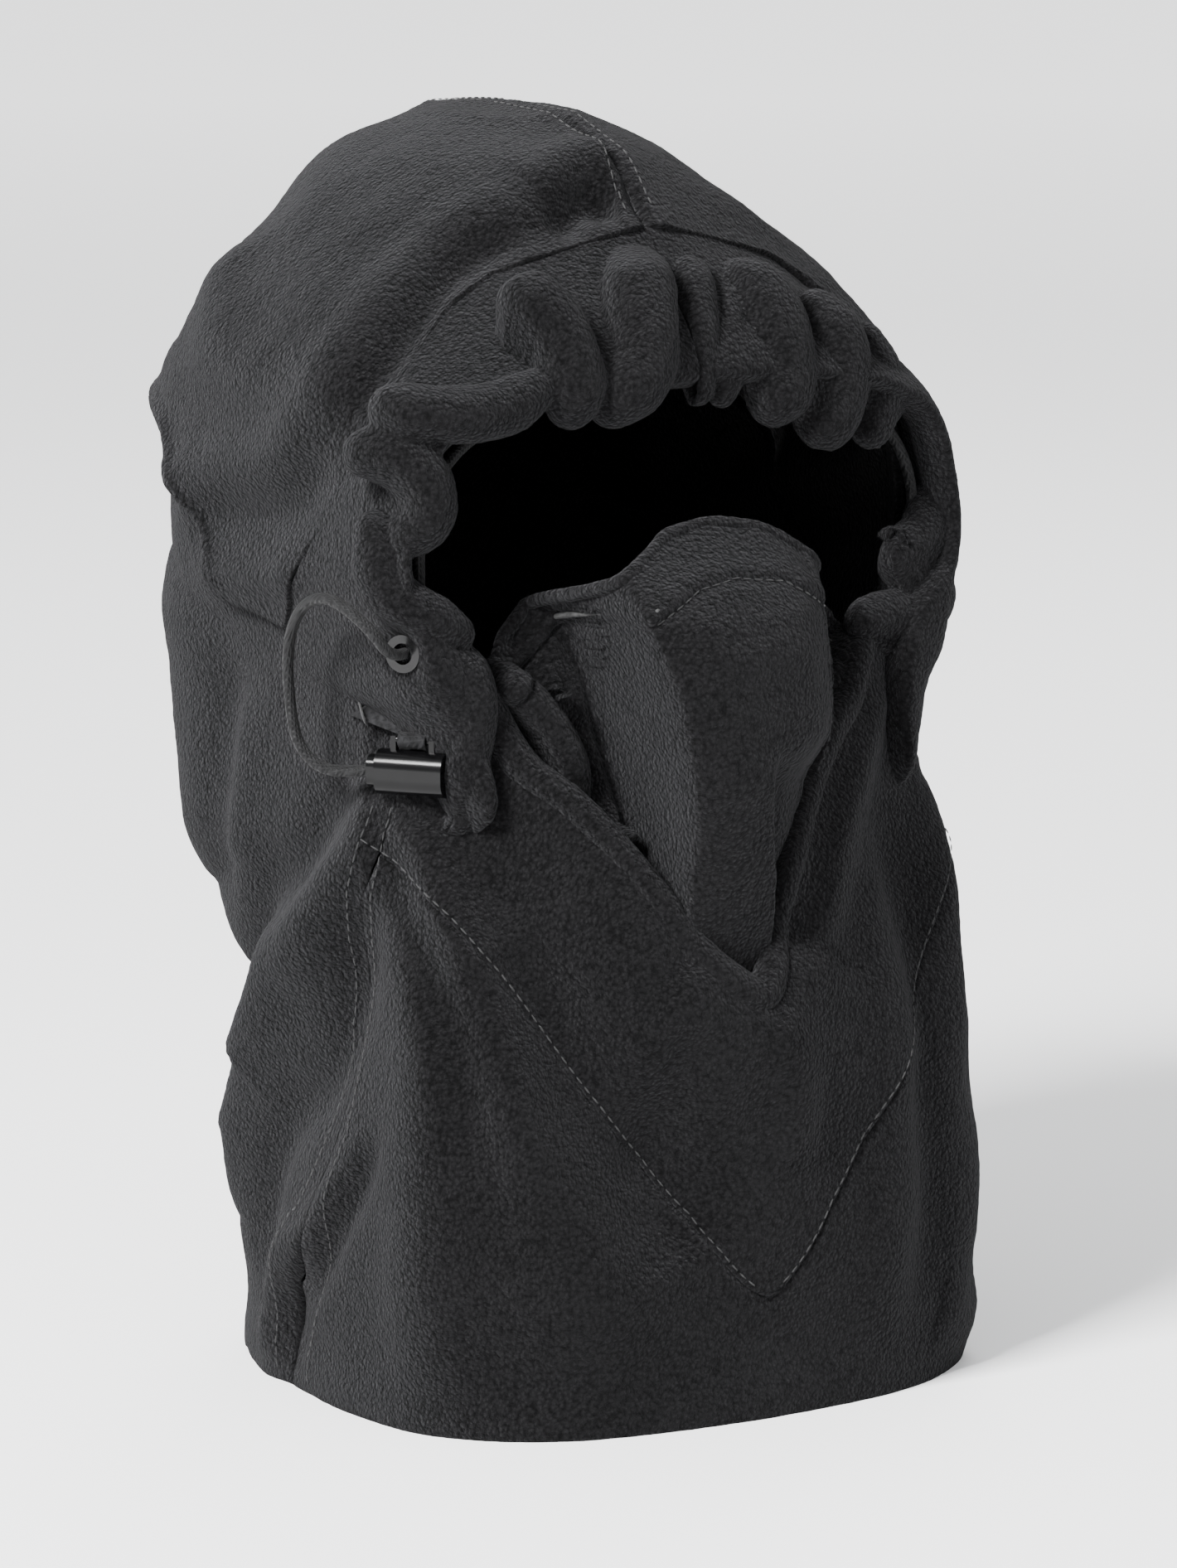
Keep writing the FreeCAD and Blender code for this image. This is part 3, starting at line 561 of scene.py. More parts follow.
def math_node(tree: bpy.types.NodeTree, operation: str, second: float | None = None) -> bpy.types.Node:
    """A math node, with its second value set if one is given."""
    node = tree.nodes.new("ShaderNodeMath")
    node.operation = operation
    if second is not None:
        node.inputs[1].default_value = second
    return node


def open_sockets(tree: bpy.types.NodeTree, way: str, sockets: dict[str, str]) -> None:
    """Open named sockets of the given kinds on a node group."""
    for name, kind in sockets.items():
        tree.interface.new_socket(name, in_out=way, socket_type="NodeSocket" + kind)


def nap_group() -> bpy.types.NodeTree:
    """Brushed nap: colour drift and a relief height, from object coordinates."""
    tree, start, end = new_group("BrushedNap")
    open_sockets(tree, "INPUT", {"Vector": "Vector", "Dark": "Color", "Light": "Color", "Grain": "Float"})
    open_sockets(tree, "OUTPUT", {"Color": "Color", "Height": "Float"})
    fine = tree.nodes.new("ShaderNodeTexNoise")
    fine.inputs["Detail"].default_value = 4.0
    fine.inputs["Roughness"].default_value = 0.62
    clump = tree.nodes.new("ShaderNodeTexVoronoi")
    clump.feature = "SMOOTH_F1"
    clump.inputs["Smoothness"].default_value = 0.6
    clump_size = math_node(tree, "MULTIPLY", 0.62)
    patch = tree.nodes.new("ShaderNodeTexNoise")
    patch.inputs["Scale"].default_value = 42.0
    patch.inputs["Detail"].default_value = 3.0
    rise = math_node(tree, "MULTIPLY_ADD", -0.75)
    blend = math_node(tree, "MULTIPLY_ADD", 0.35)
    tone = tree.nodes.new("ShaderNodeMapRange")
    tone.inputs["From Min"].default_value = 0.05
    tone.inputs["From Max"].default_value = 0.75
    mix = tree.nodes.new("ShaderNodeMix")
    mix.data_type = "RGBA"
    wire = tree.links.new
    wire(start.outputs["Vector"], fine.inputs["Vector"])
    wire(start.outputs["Grain"], fine.inputs["Scale"])
    wire(start.outputs["Vector"], clump.inputs["Vector"])
    wire(start.outputs["Grain"], clump_size.inputs[0])
    wire(clump_size.outputs[0], clump.inputs["Scale"])
    wire(start.outputs["Vector"], patch.inputs["Vector"])
    wire(clump.outputs["Distance"], rise.inputs[0])
    wire(fine.outputs["Fac"], rise.inputs[2])
    wire(patch.outputs["Fac"], blend.inputs[0])
    wire(rise.outputs[0], blend.inputs[2])
    wire(blend.outputs[0], tone.inputs["Value"])
    wire(tone.outputs["Result"], mix.inputs["Factor"])
    wire(start.outputs["Dark"], mix.inputs["A"])
    wire(start.outputs["Light"], mix.inputs["B"])
    wire(mix.outputs["Result"], end.inputs["Color"])
    wire(rise.outputs[0], end.inputs["Height"])
    return tree


def braid_group() -> bpy.types.NodeTree:
    """Crossed yarns from two slanted waves: a relief height."""
    tree, start, end = new_group("CrossedYarn")
    open_sockets(tree, "INPUT", {"Vector": "Vector", "Pitch": "Float"})
    open_sockets(tree, "OUTPUT", {"Height": "Float"})
    wire = tree.links.new
    waves = []
    for direction in ("DIAGONAL", "X"):
        wave = tree.nodes.new("ShaderNodeTexWave")
        wave.bands_direction = direction
        wave.inputs["Distortion"].default_value = 0.4
        wire(start.outputs["Vector"], wave.inputs["Vector"])
        wire(start.outputs["Pitch"], wave.inputs["Scale"])
        waves.append(wave)
    top = math_node(tree, "MAXIMUM")
    wire(waves[0].outputs["Fac"], top.inputs[0])
    wire(waves[1].outputs["Fac"], top.inputs[1])
    wire(top.outputs[0], end.inputs["Height"])
    return tree


@dataclass(frozen=True)
class Finish:
    """One finish: a Principled shader with constant gloss values and a procedural relief."""

    name: str
    dark: tuple[float, float, float]
    light: tuple[float, float, float]
    rough: float
    grain: float = 900.0
    relief: float = 0.0
    relief_depth: float = 0.0006
    sheen: float = 0.0
    sheen_rough: float = 0.5
    sheen_tint: tuple[float, float, float] = (1.0, 1.0, 1.0)
    coat: float = 0.0
    metal: float = 0.0
    specular: float = 0.5
    yarn_pitch: float = 0.0

    def build(self) -> bpy.types.Material:
        """Make the material.

        Returns:
            A material whose colour and relief come from object coordinates.
        """
        material = bpy.data.materials.new(self.name)
        material.use_nodes = True
        tree = material.node_tree
        shader = tree.nodes["Principled BSDF"]
        shader.inputs["Roughness"].default_value = self.rough
        shader.inputs["Metallic"].default_value = self.metal
        shader.inputs["Specular IOR Level"].default_value = self.specular
        shader.inputs["Sheen Weight"].default_value = self.sheen
        shader.inputs["Sheen Roughness"].default_value = self.sheen_rough
        shader.inputs["Sheen Tint"].default_value = (*self.sheen_tint, 1.0)
        shader.inputs["Coat Weight"].default_value = self.coat
        shader.inputs["Coat Roughness"].default_value = 0.08
        place = tree.nodes.new("ShaderNodeTexCoord")
        nap = tree.nodes.new("ShaderNodeGroup")
        nap.node_tree = GROUPS["nap"]
        nap.inputs["Dark"].default_value = (*self.dark, 1.0)
        nap.inputs["Light"].default_value = (*self.light, 1.0)
        nap.inputs["Grain"].default_value = self.grain
        tree.links.new(place.outputs["Object"], nap.inputs["Vector"])
        tree.links.new(nap.outputs["Color"], shader.inputs["Base Color"])
        bump = tree.nodes.new("ShaderNodeBump")
        bump.inputs["Strength"].default_value = self.relief
        bump.inputs["Distance"].default_value = self.relief_depth
        height = nap.outputs["Height"]
        if self.yarn_pitch:
            yarn = tree.nodes.new("ShaderNodeGroup")
            yarn.node_tree = GROUPS["yarn"]
            yarn.inputs["Pitch"].default_value = self.yarn_pitch
            tree.links.new(place.outputs["Object"], yarn.inputs["Vector"])
            height = yarn.outputs["Height"]
        if self.relief:
            tree.links.new(height, bump.inputs["Height"])
            tree.links.new(bump.outputs["Normal"], shader.inputs["Normal"])
        return material


GROUPS = {"nap": nap_group(), "yarn": braid_group()}
FLEECE = Finish("charcoal_fleece", (0.0014, 0.0014, 0.0015), (0.0100, 0.0098, 0.0104), 0.95,
                grain=1500.0, relief=1.0, relief_depth=0.0013, sheen=0.22, sheen_rough=0.36,
                sheen_tint=(0.2, 0.2, 0.21), specular=0.06)
CORD = Finish("braided_cord", (0.0022, 0.0022, 0.0024), (0.009, 0.009, 0.0095), 0.62,
              relief=0.8, relief_depth=0.0004, sheen=0.02, specular=0.15, yarn_pitch=420.0)
WEBBING = Finish("ribbed_webbing", (0.003, 0.003, 0.0033), (0.012, 0.012, 0.013), 0.75,
                 relief=0.8, relief_depth=0.0004, sheen=0.02, specular=0.12, yarn_pitch=300.0)
THREAD = Finish("polyester_thread", (0.002, 0.002, 0.0022), (0.008, 0.008, 0.0085), 0.6, grain=2600.0,
                relief=0.4, relief_depth=0.0002, sheen=0.2, specular=0.3)
PLASTIC = Finish("gloss_moulding", (0.001, 0.001, 0.0011), (0.0022, 0.0022, 0.0024), 0.2, grain=350.0,
                 relief=0.05, relief_depth=0.0002, coat=0.04, specular=0.14)
LACQUER = Finish("lacquered_metal", (0.0012, 0.0012, 0.0013), (0.004, 0.004, 0.0042), 0.22, grain=600.0,
                 relief=0.06, relief_depth=0.0002, coat=0.12, specular=0.2)
STEEL = Finish("drawn_wire", (0.4, 0.4, 0.4), (0.62, 0.62, 0.62), 0.3, grain=2000.0, relief=0.1,
               relief_depth=0.0001, metal=1.0)
LABEL = Finish("woven_label", (0.2, 0.2, 0.21), (0.36, 0.36, 0.37), 0.6, relief=0.6,
               relief_depth=0.0003, sheen=0.2, yarn_pitch=500.0)
ELASTIC = Finish("knitted_elastic", (0.01, 0.01, 0.01), (0.04, 0.04, 0.04), 0.8, relief=0.6,
                 relief_depth=0.0003, yarn_pitch=380.0)
MADE: dict[str, bpy.types.Material] = {}


def dress(item: bpy.types.Object, finish: Finish) -> None:
    """Put one finish on an object, replacing what it has."""
    if finish.name not in MADE:
        MADE[finish.name] = finish.build()
    item.data.materials.clear()
    item.data.materials.append(MADE[finish.name])


def adopt(piece: bpy.types.Object, finish: Finish, nodes: Sequence[str] = (),
          body: str = GARMENT) -> bpy.types.Object:
    """Dress a new piece, ride it on a body and let it stand for CAD nodes."""
    dress(piece, finish)
    if nodes:
        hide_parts(*nodes)
    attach(piece, body)
    area = sum(face.area for face in piece.data.polygons)
    log.info("%s: %d faces, %.4f square metres", piece.name, len(piece.data.polygons), area)
    return piece


# ------------------------------------------------------------------ stitching
def columns_at(wanted: np.ndarray, places: np.ndarray, table: np.ndarray) -> np.ndarray:
    """Every column of a table, read at the wanted places along it."""
    return np.stack([np.interp(wanted, places, column) for column in table.T], axis=1)


@dataclass(frozen=True)
class StitchRow:
    """A row of topstitches sunk into cloth, in millimetres."""

    long: float = 2.3
    gap: float = 0.8
    thick: float = 0.34
    sink: float = 0.12
    look: float = 0.5

    def build(self, name: str, line: np.ndarray, normals: np.ndarray) -> bpy.types.Object:
        """Lay short rounded stitches along a line.

        Args:
            name: the piece's name.
            line: (n, 3) points in mm, closely spaced.
            normals: (n, 3) outward unit normals there.

        Returns:
            One object that holds the whole row.
        """
        length = np.append(0.0, np.cumsum(np.linalg.norm(np.diff(line, axis=0), axis=1)))
        count = max(2, int(length[-1] / (self.long + self.gap)))
        middles = (np.arange(count) + 0.5) * length[-1] / count
        place = columns_at(middles, length, line)
        ahead = columns_at(middles + self.look, length, line)
        behind = columns_at(middles - self.look, length, line)
        out = columns_at(middles, length, normals)
        work = bmesh.new()
        for spot, front, rear, normal in zip(place, ahead, behind, out):
            run = Vector(front - rear).normalized()
            up = Vector(normal).normalized()
            aside = up.cross(run).normalized()
            up = run.cross(aside)
            centre = Vector(spot) + up * (self.thick * 0.5 - self.sink)
            turn = Matrix((run, aside, up)).transposed().to_4x4()
            shape = Matrix.Diagonal((self.long / 2, self.thick / 2, self.thick / 2, 1.0))
            scale = Matrix.Scale(MM, 4)
            bmesh.ops.create_uvsphere(work, u_segments=8, v_segments=5, radius=1.0,
                                      matrix=scale @ Matrix.Translation(centre) @ turn @ shape
                                      @ Matrix.Rotation(math.pi / 2, 4, "Y"))
        for face in work.faces:
            face.smooth = True
        mesh = bpy.data.meshes.new(name)
        work.to_mesh(mesh)
        work.free()
        return link(name, mesh)


# ------------------------------------------------------------------ panels
def line_over(stops: Sequence[tuple[float, float]], value: np.ndarray) -> np.ndarray:
    """Read a broken line of (x, y) stops at some x."""
    table = np.array(sorted(stops))
    return np.interp(value, table[:, 0], table[:, 1])


@dataclass
class Outline:
    """Edges that neighbouring panels share, in turns and heights on the skin."""

    band: tuple[tuple[float, float], ...] = (
        (90, 288), (99, 287), (108, 285), (118, 282), (127, 279), (134, 272), (139, 259), (146, 246),
        (155, 232), (163, 221), (170, 209), (176, 190), (180, 194), (184, 205), (190, 219), (202, 232),
        (220, 239), (245, 243), (270, 244))
    seam: tuple[tuple[float, float], ...] = (
        (0, 182), (10, 182), (38, 179), (53, 177), (71, 174), (96, 171), (118, 164), (137, 156),
        (156, 149), (175, 147), (200, 147))
    neckline: tuple[tuple[float, float], ...] = (
        (-72, 184), (-62, 183), (-58, 181), (-56, 173), (-50, 161.5), (-40.5, 152), (-32, 141), (-23.5, 128),
        (-18.6, 120), (-10.6, 111), (-0.5, 104.5), (5, 111), (8.5, 121), (14, 133.5), (24.7, 150.5),
        (33.5, 161.5), (43.4, 170), (50, 180), (55, 184), (62, 185), (72, 185))
    yoke: tuple[tuple[float, float], ...] = (
        (0, 30), (6, 51), (12, 65), (20, 77), (37, 104), (50, 125), (60, 137), (70, 145))
    tuck: float = 9.0
    lap: float = 3.0
    rim_room: float = 3.2

    def rim(self, turn: np.ndarray) -> np.ndarray:
        """Height of the hood's lower edge at a turn, the same on both sides."""
        folded = np.where(turn > 270, 540 - turn, turn)
        folded = np.where(folded < 90, 180 - folded, folded)
        return line_over(self.band, folded)

    def side(self, height: np.ndarray) -> np.ndarray:
        """Turn of the right side seam at a height."""
        return line_over(self.seam, height)


@dataclass
class Panels:
    """Hood halves, neck panel and bib."""

    skin: Skin
    outline: Outline
    cloth: float = 2.6
    pitch: float = 1.25
    rim_guess: float = 235.0
    seam_lap: float = 2.5
    under_lap: float = 1.6
    bib_low_top: float = 148.0
    bib_foot: float = 145.0
    bib_rise: float = 40.0

    def counts(self, wide: float, tall: float) -> tuple[int, int]:
        """Grid counts for a panel of this size in mm."""
        pitch = self.pitch * 1.0
        return int(wide / pitch), int(tall / pitch)

    def hood(self, side: Side) -> bpy.types.Object:
        """One half of the hood, from the brow seam and the rim up to the crown seam."""
        skin = self.skin
        top = skin.distance[-1]

        def mapper(u: np.ndarray, v: np.ndarray) -> np.ndarray:
            """Rows run from the rim up to the crown."""
            turn = 90.0 + 180.0 * np.clip(u, 0, 1)
            low = skin.climb_of(self.outline.rim(turn))
            climb = low + (top - low) * np.clip(v, 0, 1)
            if side is Side.LEFT:
                turn = 180.0 - turn
            points = skin.draped(turn, climb)
            rise = climb - low
            back = ease(np.abs(turn - 90.0), 84.0, 100.0)
            flare = self.outline.rim_room * np.exp(-(rise / 16.0) ** 2) * back
            flare += 1.8 * np.exp(-((rise - 2.5) / 2.6) ** 2) * back
            across = np.abs(points[:, 0])
            seam = 0.9 * np.exp(-((across - 4.2) / 2.6) ** 2) - 1.3 * np.exp(-(across / 1.3) ** 2)
            crown = ease(points[:, 2], 200.0, 215.0)
            push = flare + seam * crown
            return points + skin.normals(turn, climb) * push[:, None]

        wide, tall = self.counts(300.0, 190.0)
        piece = grid_piece("hood_" + side.word, wide, tall, mapper, FLEECE_NAP)
        face_out(piece, Vector((0, 30 * MM, 230 * MM)))
        thicken(piece, self.cloth)
        adopt(piece, FLEECE, ["hood_%s_panel" % side.word])
        return piece

    def neck(self) -> bpy.types.Object:
        """The neck panel, from one side seam round the back to the other."""
        skin = self.skin

        def mapper(u: np.ndarray, v: np.ndarray) -> np.ndarray:
            """Rows run from the hem up behind the hood's rim."""
            height = np.clip(v, 0, 1) * self.rim_guess
            for _ in range(3):
                height = np.clip(v, 0, 1) * self.outline.rim(self.outline.side(height))
            first = self.outline.side(height) - self.seam_lap * ease(height, 120.0, 150.0)
            turn = first + (540.0 - 2.0 * first) * np.clip(u, 0, 1)
            high = self.outline.rim(turn) + self.outline.tuck * ease(np.abs(turn - 270.0), 96.0, 84.0)
            climb = skin.climb_of(high) * np.clip(v, 0, 1)
            points = skin.plain(turn, climb)
            under = ease(points[:, 2], 120.0, 175.0) * ease(np.abs(turn - 270.0), 112.0, 92.0)
            lapped = ease(points[:, 2], 125.0, 148.0) * ease(np.abs(turn - 270.0), 112.0, 117.0)
            sunk = self.under_lap * np.maximum(under, lapped)
            return skin.draped(turn, climb) - skin.normals(turn, climb) * sunk[:, None]

        wide, tall = self.counts(345.0, 215.0)
        piece = grid_piece("neck_panel", wide, tall, mapper, FLEECE_NAP)
        face_out(piece, Vector((0, 0, 110 * MM)))
        thicken(piece, self.cloth)
        adopt(piece, FLEECE, ["neck_back_panel"])
        return piece

    def bib_turn(self, u: np.ndarray, height: np.ndarray) -> np.ndarray:
        """Turn across the bib, from the right side seam to the left one."""
        first = self.outline.side(height)
        return first + (180.0 - 2.0 * first) * np.clip(u, 0, 1)

    def bib_lower(self) -> bpy.types.Object:
        """The bib under the chest seam."""
        skin = self.skin

        def mapper(u: np.ndarray, v: np.ndarray) -> np.ndarray:
            """Rows run from the hem up to the chest seam."""
            v = np.clip(v, 0, 1)
            turn = self.bib_turn(u, v * self.bib_low_top)
            high = line_over(self.outline.yoke, np.abs(turn - 90.0)) + self.outline.lap
            climb = skin.climb_of(high * v)
            under = 1.3 * ease(high * v, 0.0, 1.0) * ease(high - high * v, 2.0 * self.outline.lap, 0.6)
            return skin.draped(turn, climb) - skin.normals(turn, climb) * under[:, None]

        wide, tall = self.counts(240.0, 120.0)
        piece = grid_piece("bib_lower", wide, tall, mapper, FLEECE_NAP)
        face_out(piece, Vector((0, 0, 60 * MM)))
        thicken(piece, self.cloth)
        adopt(piece, FLEECE, ["bib_lower_panel"])
        return piece

    def neckline_height(self, turn: np.ndarray) -> np.ndarray:
        """Height of the V neckline at a turn."""
        stops = [(self.skin.turn_at(x, z), z) for x, z in self.outline.neckline]
        return line_over(stops, turn)

    def bib_yoke(self) -> bpy.types.Object:
        """The bib between the chest seam and the V neckline."""
        skin = self.skin

        def mapper(u: np.ndarray, v: np.ndarray) -> np.ndarray:
            """Rows run from the chest seam up to the neckline."""
            turn = self.bib_turn(u, self.bib_foot + np.clip(v, 0, 1) * self.bib_rise)
            low = line_over(self.outline.yoke, np.abs(turn - 90.0))
            high = self.neckline_height(turn)
            climb = skin.climb_of(low + (high - low) * np.clip(v, 0, 1))
            return skin.draped(turn, climb)

        wide, tall = self.counts(230.0, 90.0)
        piece = grid_piece("bib_yoke_cloth", wide, tall, mapper, FLEECE_NAP)
        face_out(piece, Vector((0, 0, 110 * MM)))
        thicken(piece, self.cloth)
        adopt(piece, FLEECE, ["bib_yoke"])
        return piece

    def neckline_roll(self) -> bpy.types.Object:
        """The turned, rolled edge of the V neckline."""
        skin = self.skin
        stops = []
        for x, z in self.outline.neckline[2:-2]:
            turn = np.array([skin.turn_at(x, z)])
            stops.append(skin.draped(turn, skin.climb_of(np.array([float(z)])), 2.4)[0])
        piece = tube_along("neckline_roll", np.array(stops),
                           lambda u: 4.4 + 0.3 * np.sin(u * 17.0), 300, 26, FLEECE_NAP)
        return adopt(piece, FLEECE)

    def seam_rows(self) -> None:
        """Topstitching along the crown, side and chest seams."""
        skin = self.skin
        stitch = StitchRow()

        def row(name: str, turn: np.ndarray, height: np.ndarray, proud: float = 0.55) -> None:
            """Lay one row on the draped skin, proud of it by some mm."""
            climb = skin.climb_of(height)
            line = skin.draped(turn, climb) + skin.normals(turn, climb) * proud
            adopt(stitch.build(name, line, skin.normals(turn, climb)), THREAD)

        climbs = np.linspace(float(skin.climb_of(np.array([292.0]))[0]), skin.distance[-1] - 3.0, 60)
        heights = np.linspace(3.0, 152.0, 150)
        for side in Side:
            turn = np.degrees(np.arccos(np.clip(3.4 / np.maximum(skin.plain(
                np.zeros(60), climbs)[:, 0], 4.0), 0, 0.99)))
            for tag, way in (("front", 1.0), ("back", -1.0)):
                around = way * turn if side is Side.LEFT else 180.0 - way * turn
                normals = skin.normals(around, climbs)
                built = stitch.build("crown_stitch_%s_%s" % (tag, side.word),
                                     skin.draped(around, climbs) + normals, normals)
                adopt(built, THREAD)
            for tag, shift in (("front", -2.2), ("back", 2.2)):
                turn = self.outline.side(heights) + shift
                if side is Side.LEFT:
                    turn = 180.0 - turn
                row("side_stitch_%s_%s" % (tag, side.word), turn, heights)
            away = np.linspace(0.5, 66.0, 120)
            turn = 90.0 - side.value * away
            row("chest_stitch_" + side.word, turn, line_over(self.outline.yoke, away) + 1.6)


# ------------------------------------------------------------------ gathered brow
@dataclass(frozen=True)
class Station:
    """One place along the gathered edge: seam turn and height, crest and inner edge in mm."""

    seam: tuple[float, float]
    crest: tuple[float, float, float]
    edge: tuple[float, float, float]


EYELET_SEAT = (-79.8, -39.2, 191.0)
NEAR_PUFFS = (
    Puff(((-51, -30, 276), (-45, -38, 275), (-38, -43, 266), (-35, -45, 255), (-35, -45, 248)), 8.2),
    Puff(((-44, -45, 253), (-53, -45, 249), (-65, -44, 248), (-77, -41, 249), (-83, -37, 250)), 7.2),
    Puff(((-87, -35, 239), (-81, -38, 239), (-74, -41, 232), (-73, -41, 224), (-79, -39, 219)), 7.6),
    Puff(((-85, -35, 221), (-83, -37, 208), (-76, -41, 201), (-66, -43, 195)), 6.0),
    Puff(((-68, -41, 190), (-63, -43, 184), (-62, -44, 174), (-64, -43, 163), (-64, -41, 152)), 6.2),
    Puff(((-8, -33, 280), (-12, -40, 269), (-15, -44, 257), (-23, -45, 249)), 9.4),
)
FAR_PUFFS = (
    Puff(((8, -33, 278), (4, -41, 263), (1.5, -45, 249)), 5.4),
    Puff(((15, -36, 270), (12.5, -42, 258), (9, -44, 248)), 4.8),
    Puff(((24, -34, 275), (27, -40, 263), (27.5, -43, 251), (24, -44, 245)), 8.8),
    Puff(((42, -36, 265), (45.5, -40, 255), (43, -42, 243), (35, -43, 236)), 8.4),
    Puff(((58, -34, 257), (59, -38, 245), (53, -40, 234), (45, -41, 229)), 7.0),
    Puff(((64, -38, 229), (59, -40, 222), (48, -40, 221)), 5.8),
    Puff(((75, -34, 215), (73, -37, 207), (60, -38, 202), (50, -37, 201)), 7.0),
    Puff(((80, -33, 196), (74, -36, 189), (58, -39, 188), (50, -39, 186)), 7.4),
)


@dataclass
class BrowRuff:
    """The gathered casing round the top and side of the face opening."""

    skin: Skin
    side: Side
    puffs: tuple[Puff, ...]
    stations: tuple[Station, ...] = (
        Station((90, 288), (0, -39, 270), (0, -44, 250)),
        Station((108, 285), (-20, -40, 268), (-20, -45, 250)),
        Station((126, 280), (-40, -37, 264), (-37, -44, 249)),
        Station((136, 270), (-60, -34, 256), (-54, -43, 246)),
        Station((142, 256), (-76, -32, 246), (-68, -41, 238)),
        Station((156, 234), (-83, -32, 226), (-75, -40, 220)),
        Station((168, 212), (-83, -34, 206), (-75, -41, 204)),
        Station((175, 191), (-79.8, -39.2, 191), (-65, -43, 191)),
        Station((172, 180), (-78.5, -38, 179), (-61, -44, 179)),
        Station((150, 170), (-74, -39, 171), (-59, -45, 169)),
        Station((139, 154), (-67, -44, 155), (-58, -47, 155)),
        Station((136, 148), (-65, -36, 147), (-59, -37, 148)),
    )
    roll: float = 4.6
    inside: float = 14.0
    cloth: float = 2.4
    pitch: float = 0.85
    softness: float = 0.9
    most: float = 17.0
    seat_depth: float = 1.7
    seat_wide: float = 6.2

    def smooth(self, u: np.ndarray, v: np.ndarray) -> np.ndarray:
        """Points of the ungathered casing, for the wearer's right."""
        rows = []
        for station in self.stations:
            turn, height = (np.array([float(value)]) for value in station.seam)
            seam = self.skin.draped(turn, self.skin.climb_of(height), 0.6)[0]
            rows.append(np.concatenate([seam, station.crest, station.edge]))
        table = smooth_path(rows, 200)
        places = np.linspace(0.0, 1.0, len(table))
        read = columns_at(u, places, table)
        seam, crest, edge = read[:, :3], read[:, 3:6], read[:, 6:]
        away = edge * np.array([1.0, 0.0, 1.0]) - np.array([0.0, 0.0, 212.0])
        away /= np.maximum(np.linalg.norm(away, axis=1, keepdims=True), 1e-9)
        front = edge + away * self.roll + np.array([0.0, -1.0, 0.0]) * self.roll
        lip = edge + np.array([0.0, 3.0, 0.0])
        deep = edge + away * 5.0 + np.array([0.0, 1.0, 0.0]) * self.inside
        stops = np.stack([seam, crest, front, lip, deep], axis=1)
        return cross_curve(stops, v)

    def surface(self, u: np.ndarray, v: np.ndarray) -> np.ndarray:
        """Points of the gathered casing on its own side."""
        flip = np.array([-self.side.value, 1.0, 1.0])
        uu = np.clip(u, 0.0, 1.0)
        vv = np.clip(v, 0.0, 1.0)
        base = self.smooth(uu, vv)
        du = self.smooth(np.clip(uu + 0.004, 0, 1), vv) - self.smooth(np.clip(uu - 0.004, 0, 1), vv)
        dv = self.smooth(uu, np.clip(vv + 0.01, 0, 1)) - self.smooth(uu, np.clip(vv - 0.01, 0, 1))
        normal = np.cross(du, dv)
        normal /= np.maximum(np.linalg.norm(normal, axis=1, keepdims=True), 1e-9)
        base, normal = base * flip, normal * flip
        lift = puffed(base, normal, self.puffs, self.softness, self.most)
        mood = lattice_noise(base, 13.0, 41 + int(self.side.value)) * 1.2 * ease(vv, 0.05, 0.4)
        swell = ease(vv, 0.0, 0.2) * (1.0 - 0.9 * ease(vv, 0.7, 0.9))
        gap = np.linalg.norm(base - np.array(EYELET_SEAT), axis=1)
        dent = self.seat_depth * np.exp(-(gap / self.seat_wide) ** 4)
        push = (lift * swell + mood) * ease(gap, 4.6, 9.0) - dent
        return base + normal * push[:, None]

    def build(self) -> bpy.types.Object:
        """Make the casing's cloth."""
        step = self.pitch * 1.0
        piece = grid_piece("brow_ruff_" + self.side.word, int(205 / step), int(92 / step), self.surface,
                           FLEECE_NAP)
        face_out(piece, Vector((0, 20 * MM, 225 * MM)))
        thicken(piece, self.cloth)
        names = ["brow_band_" + self.side.word, "brow_roll_" + self.side.word]
        adopt(piece, FLEECE, names)
        return piece


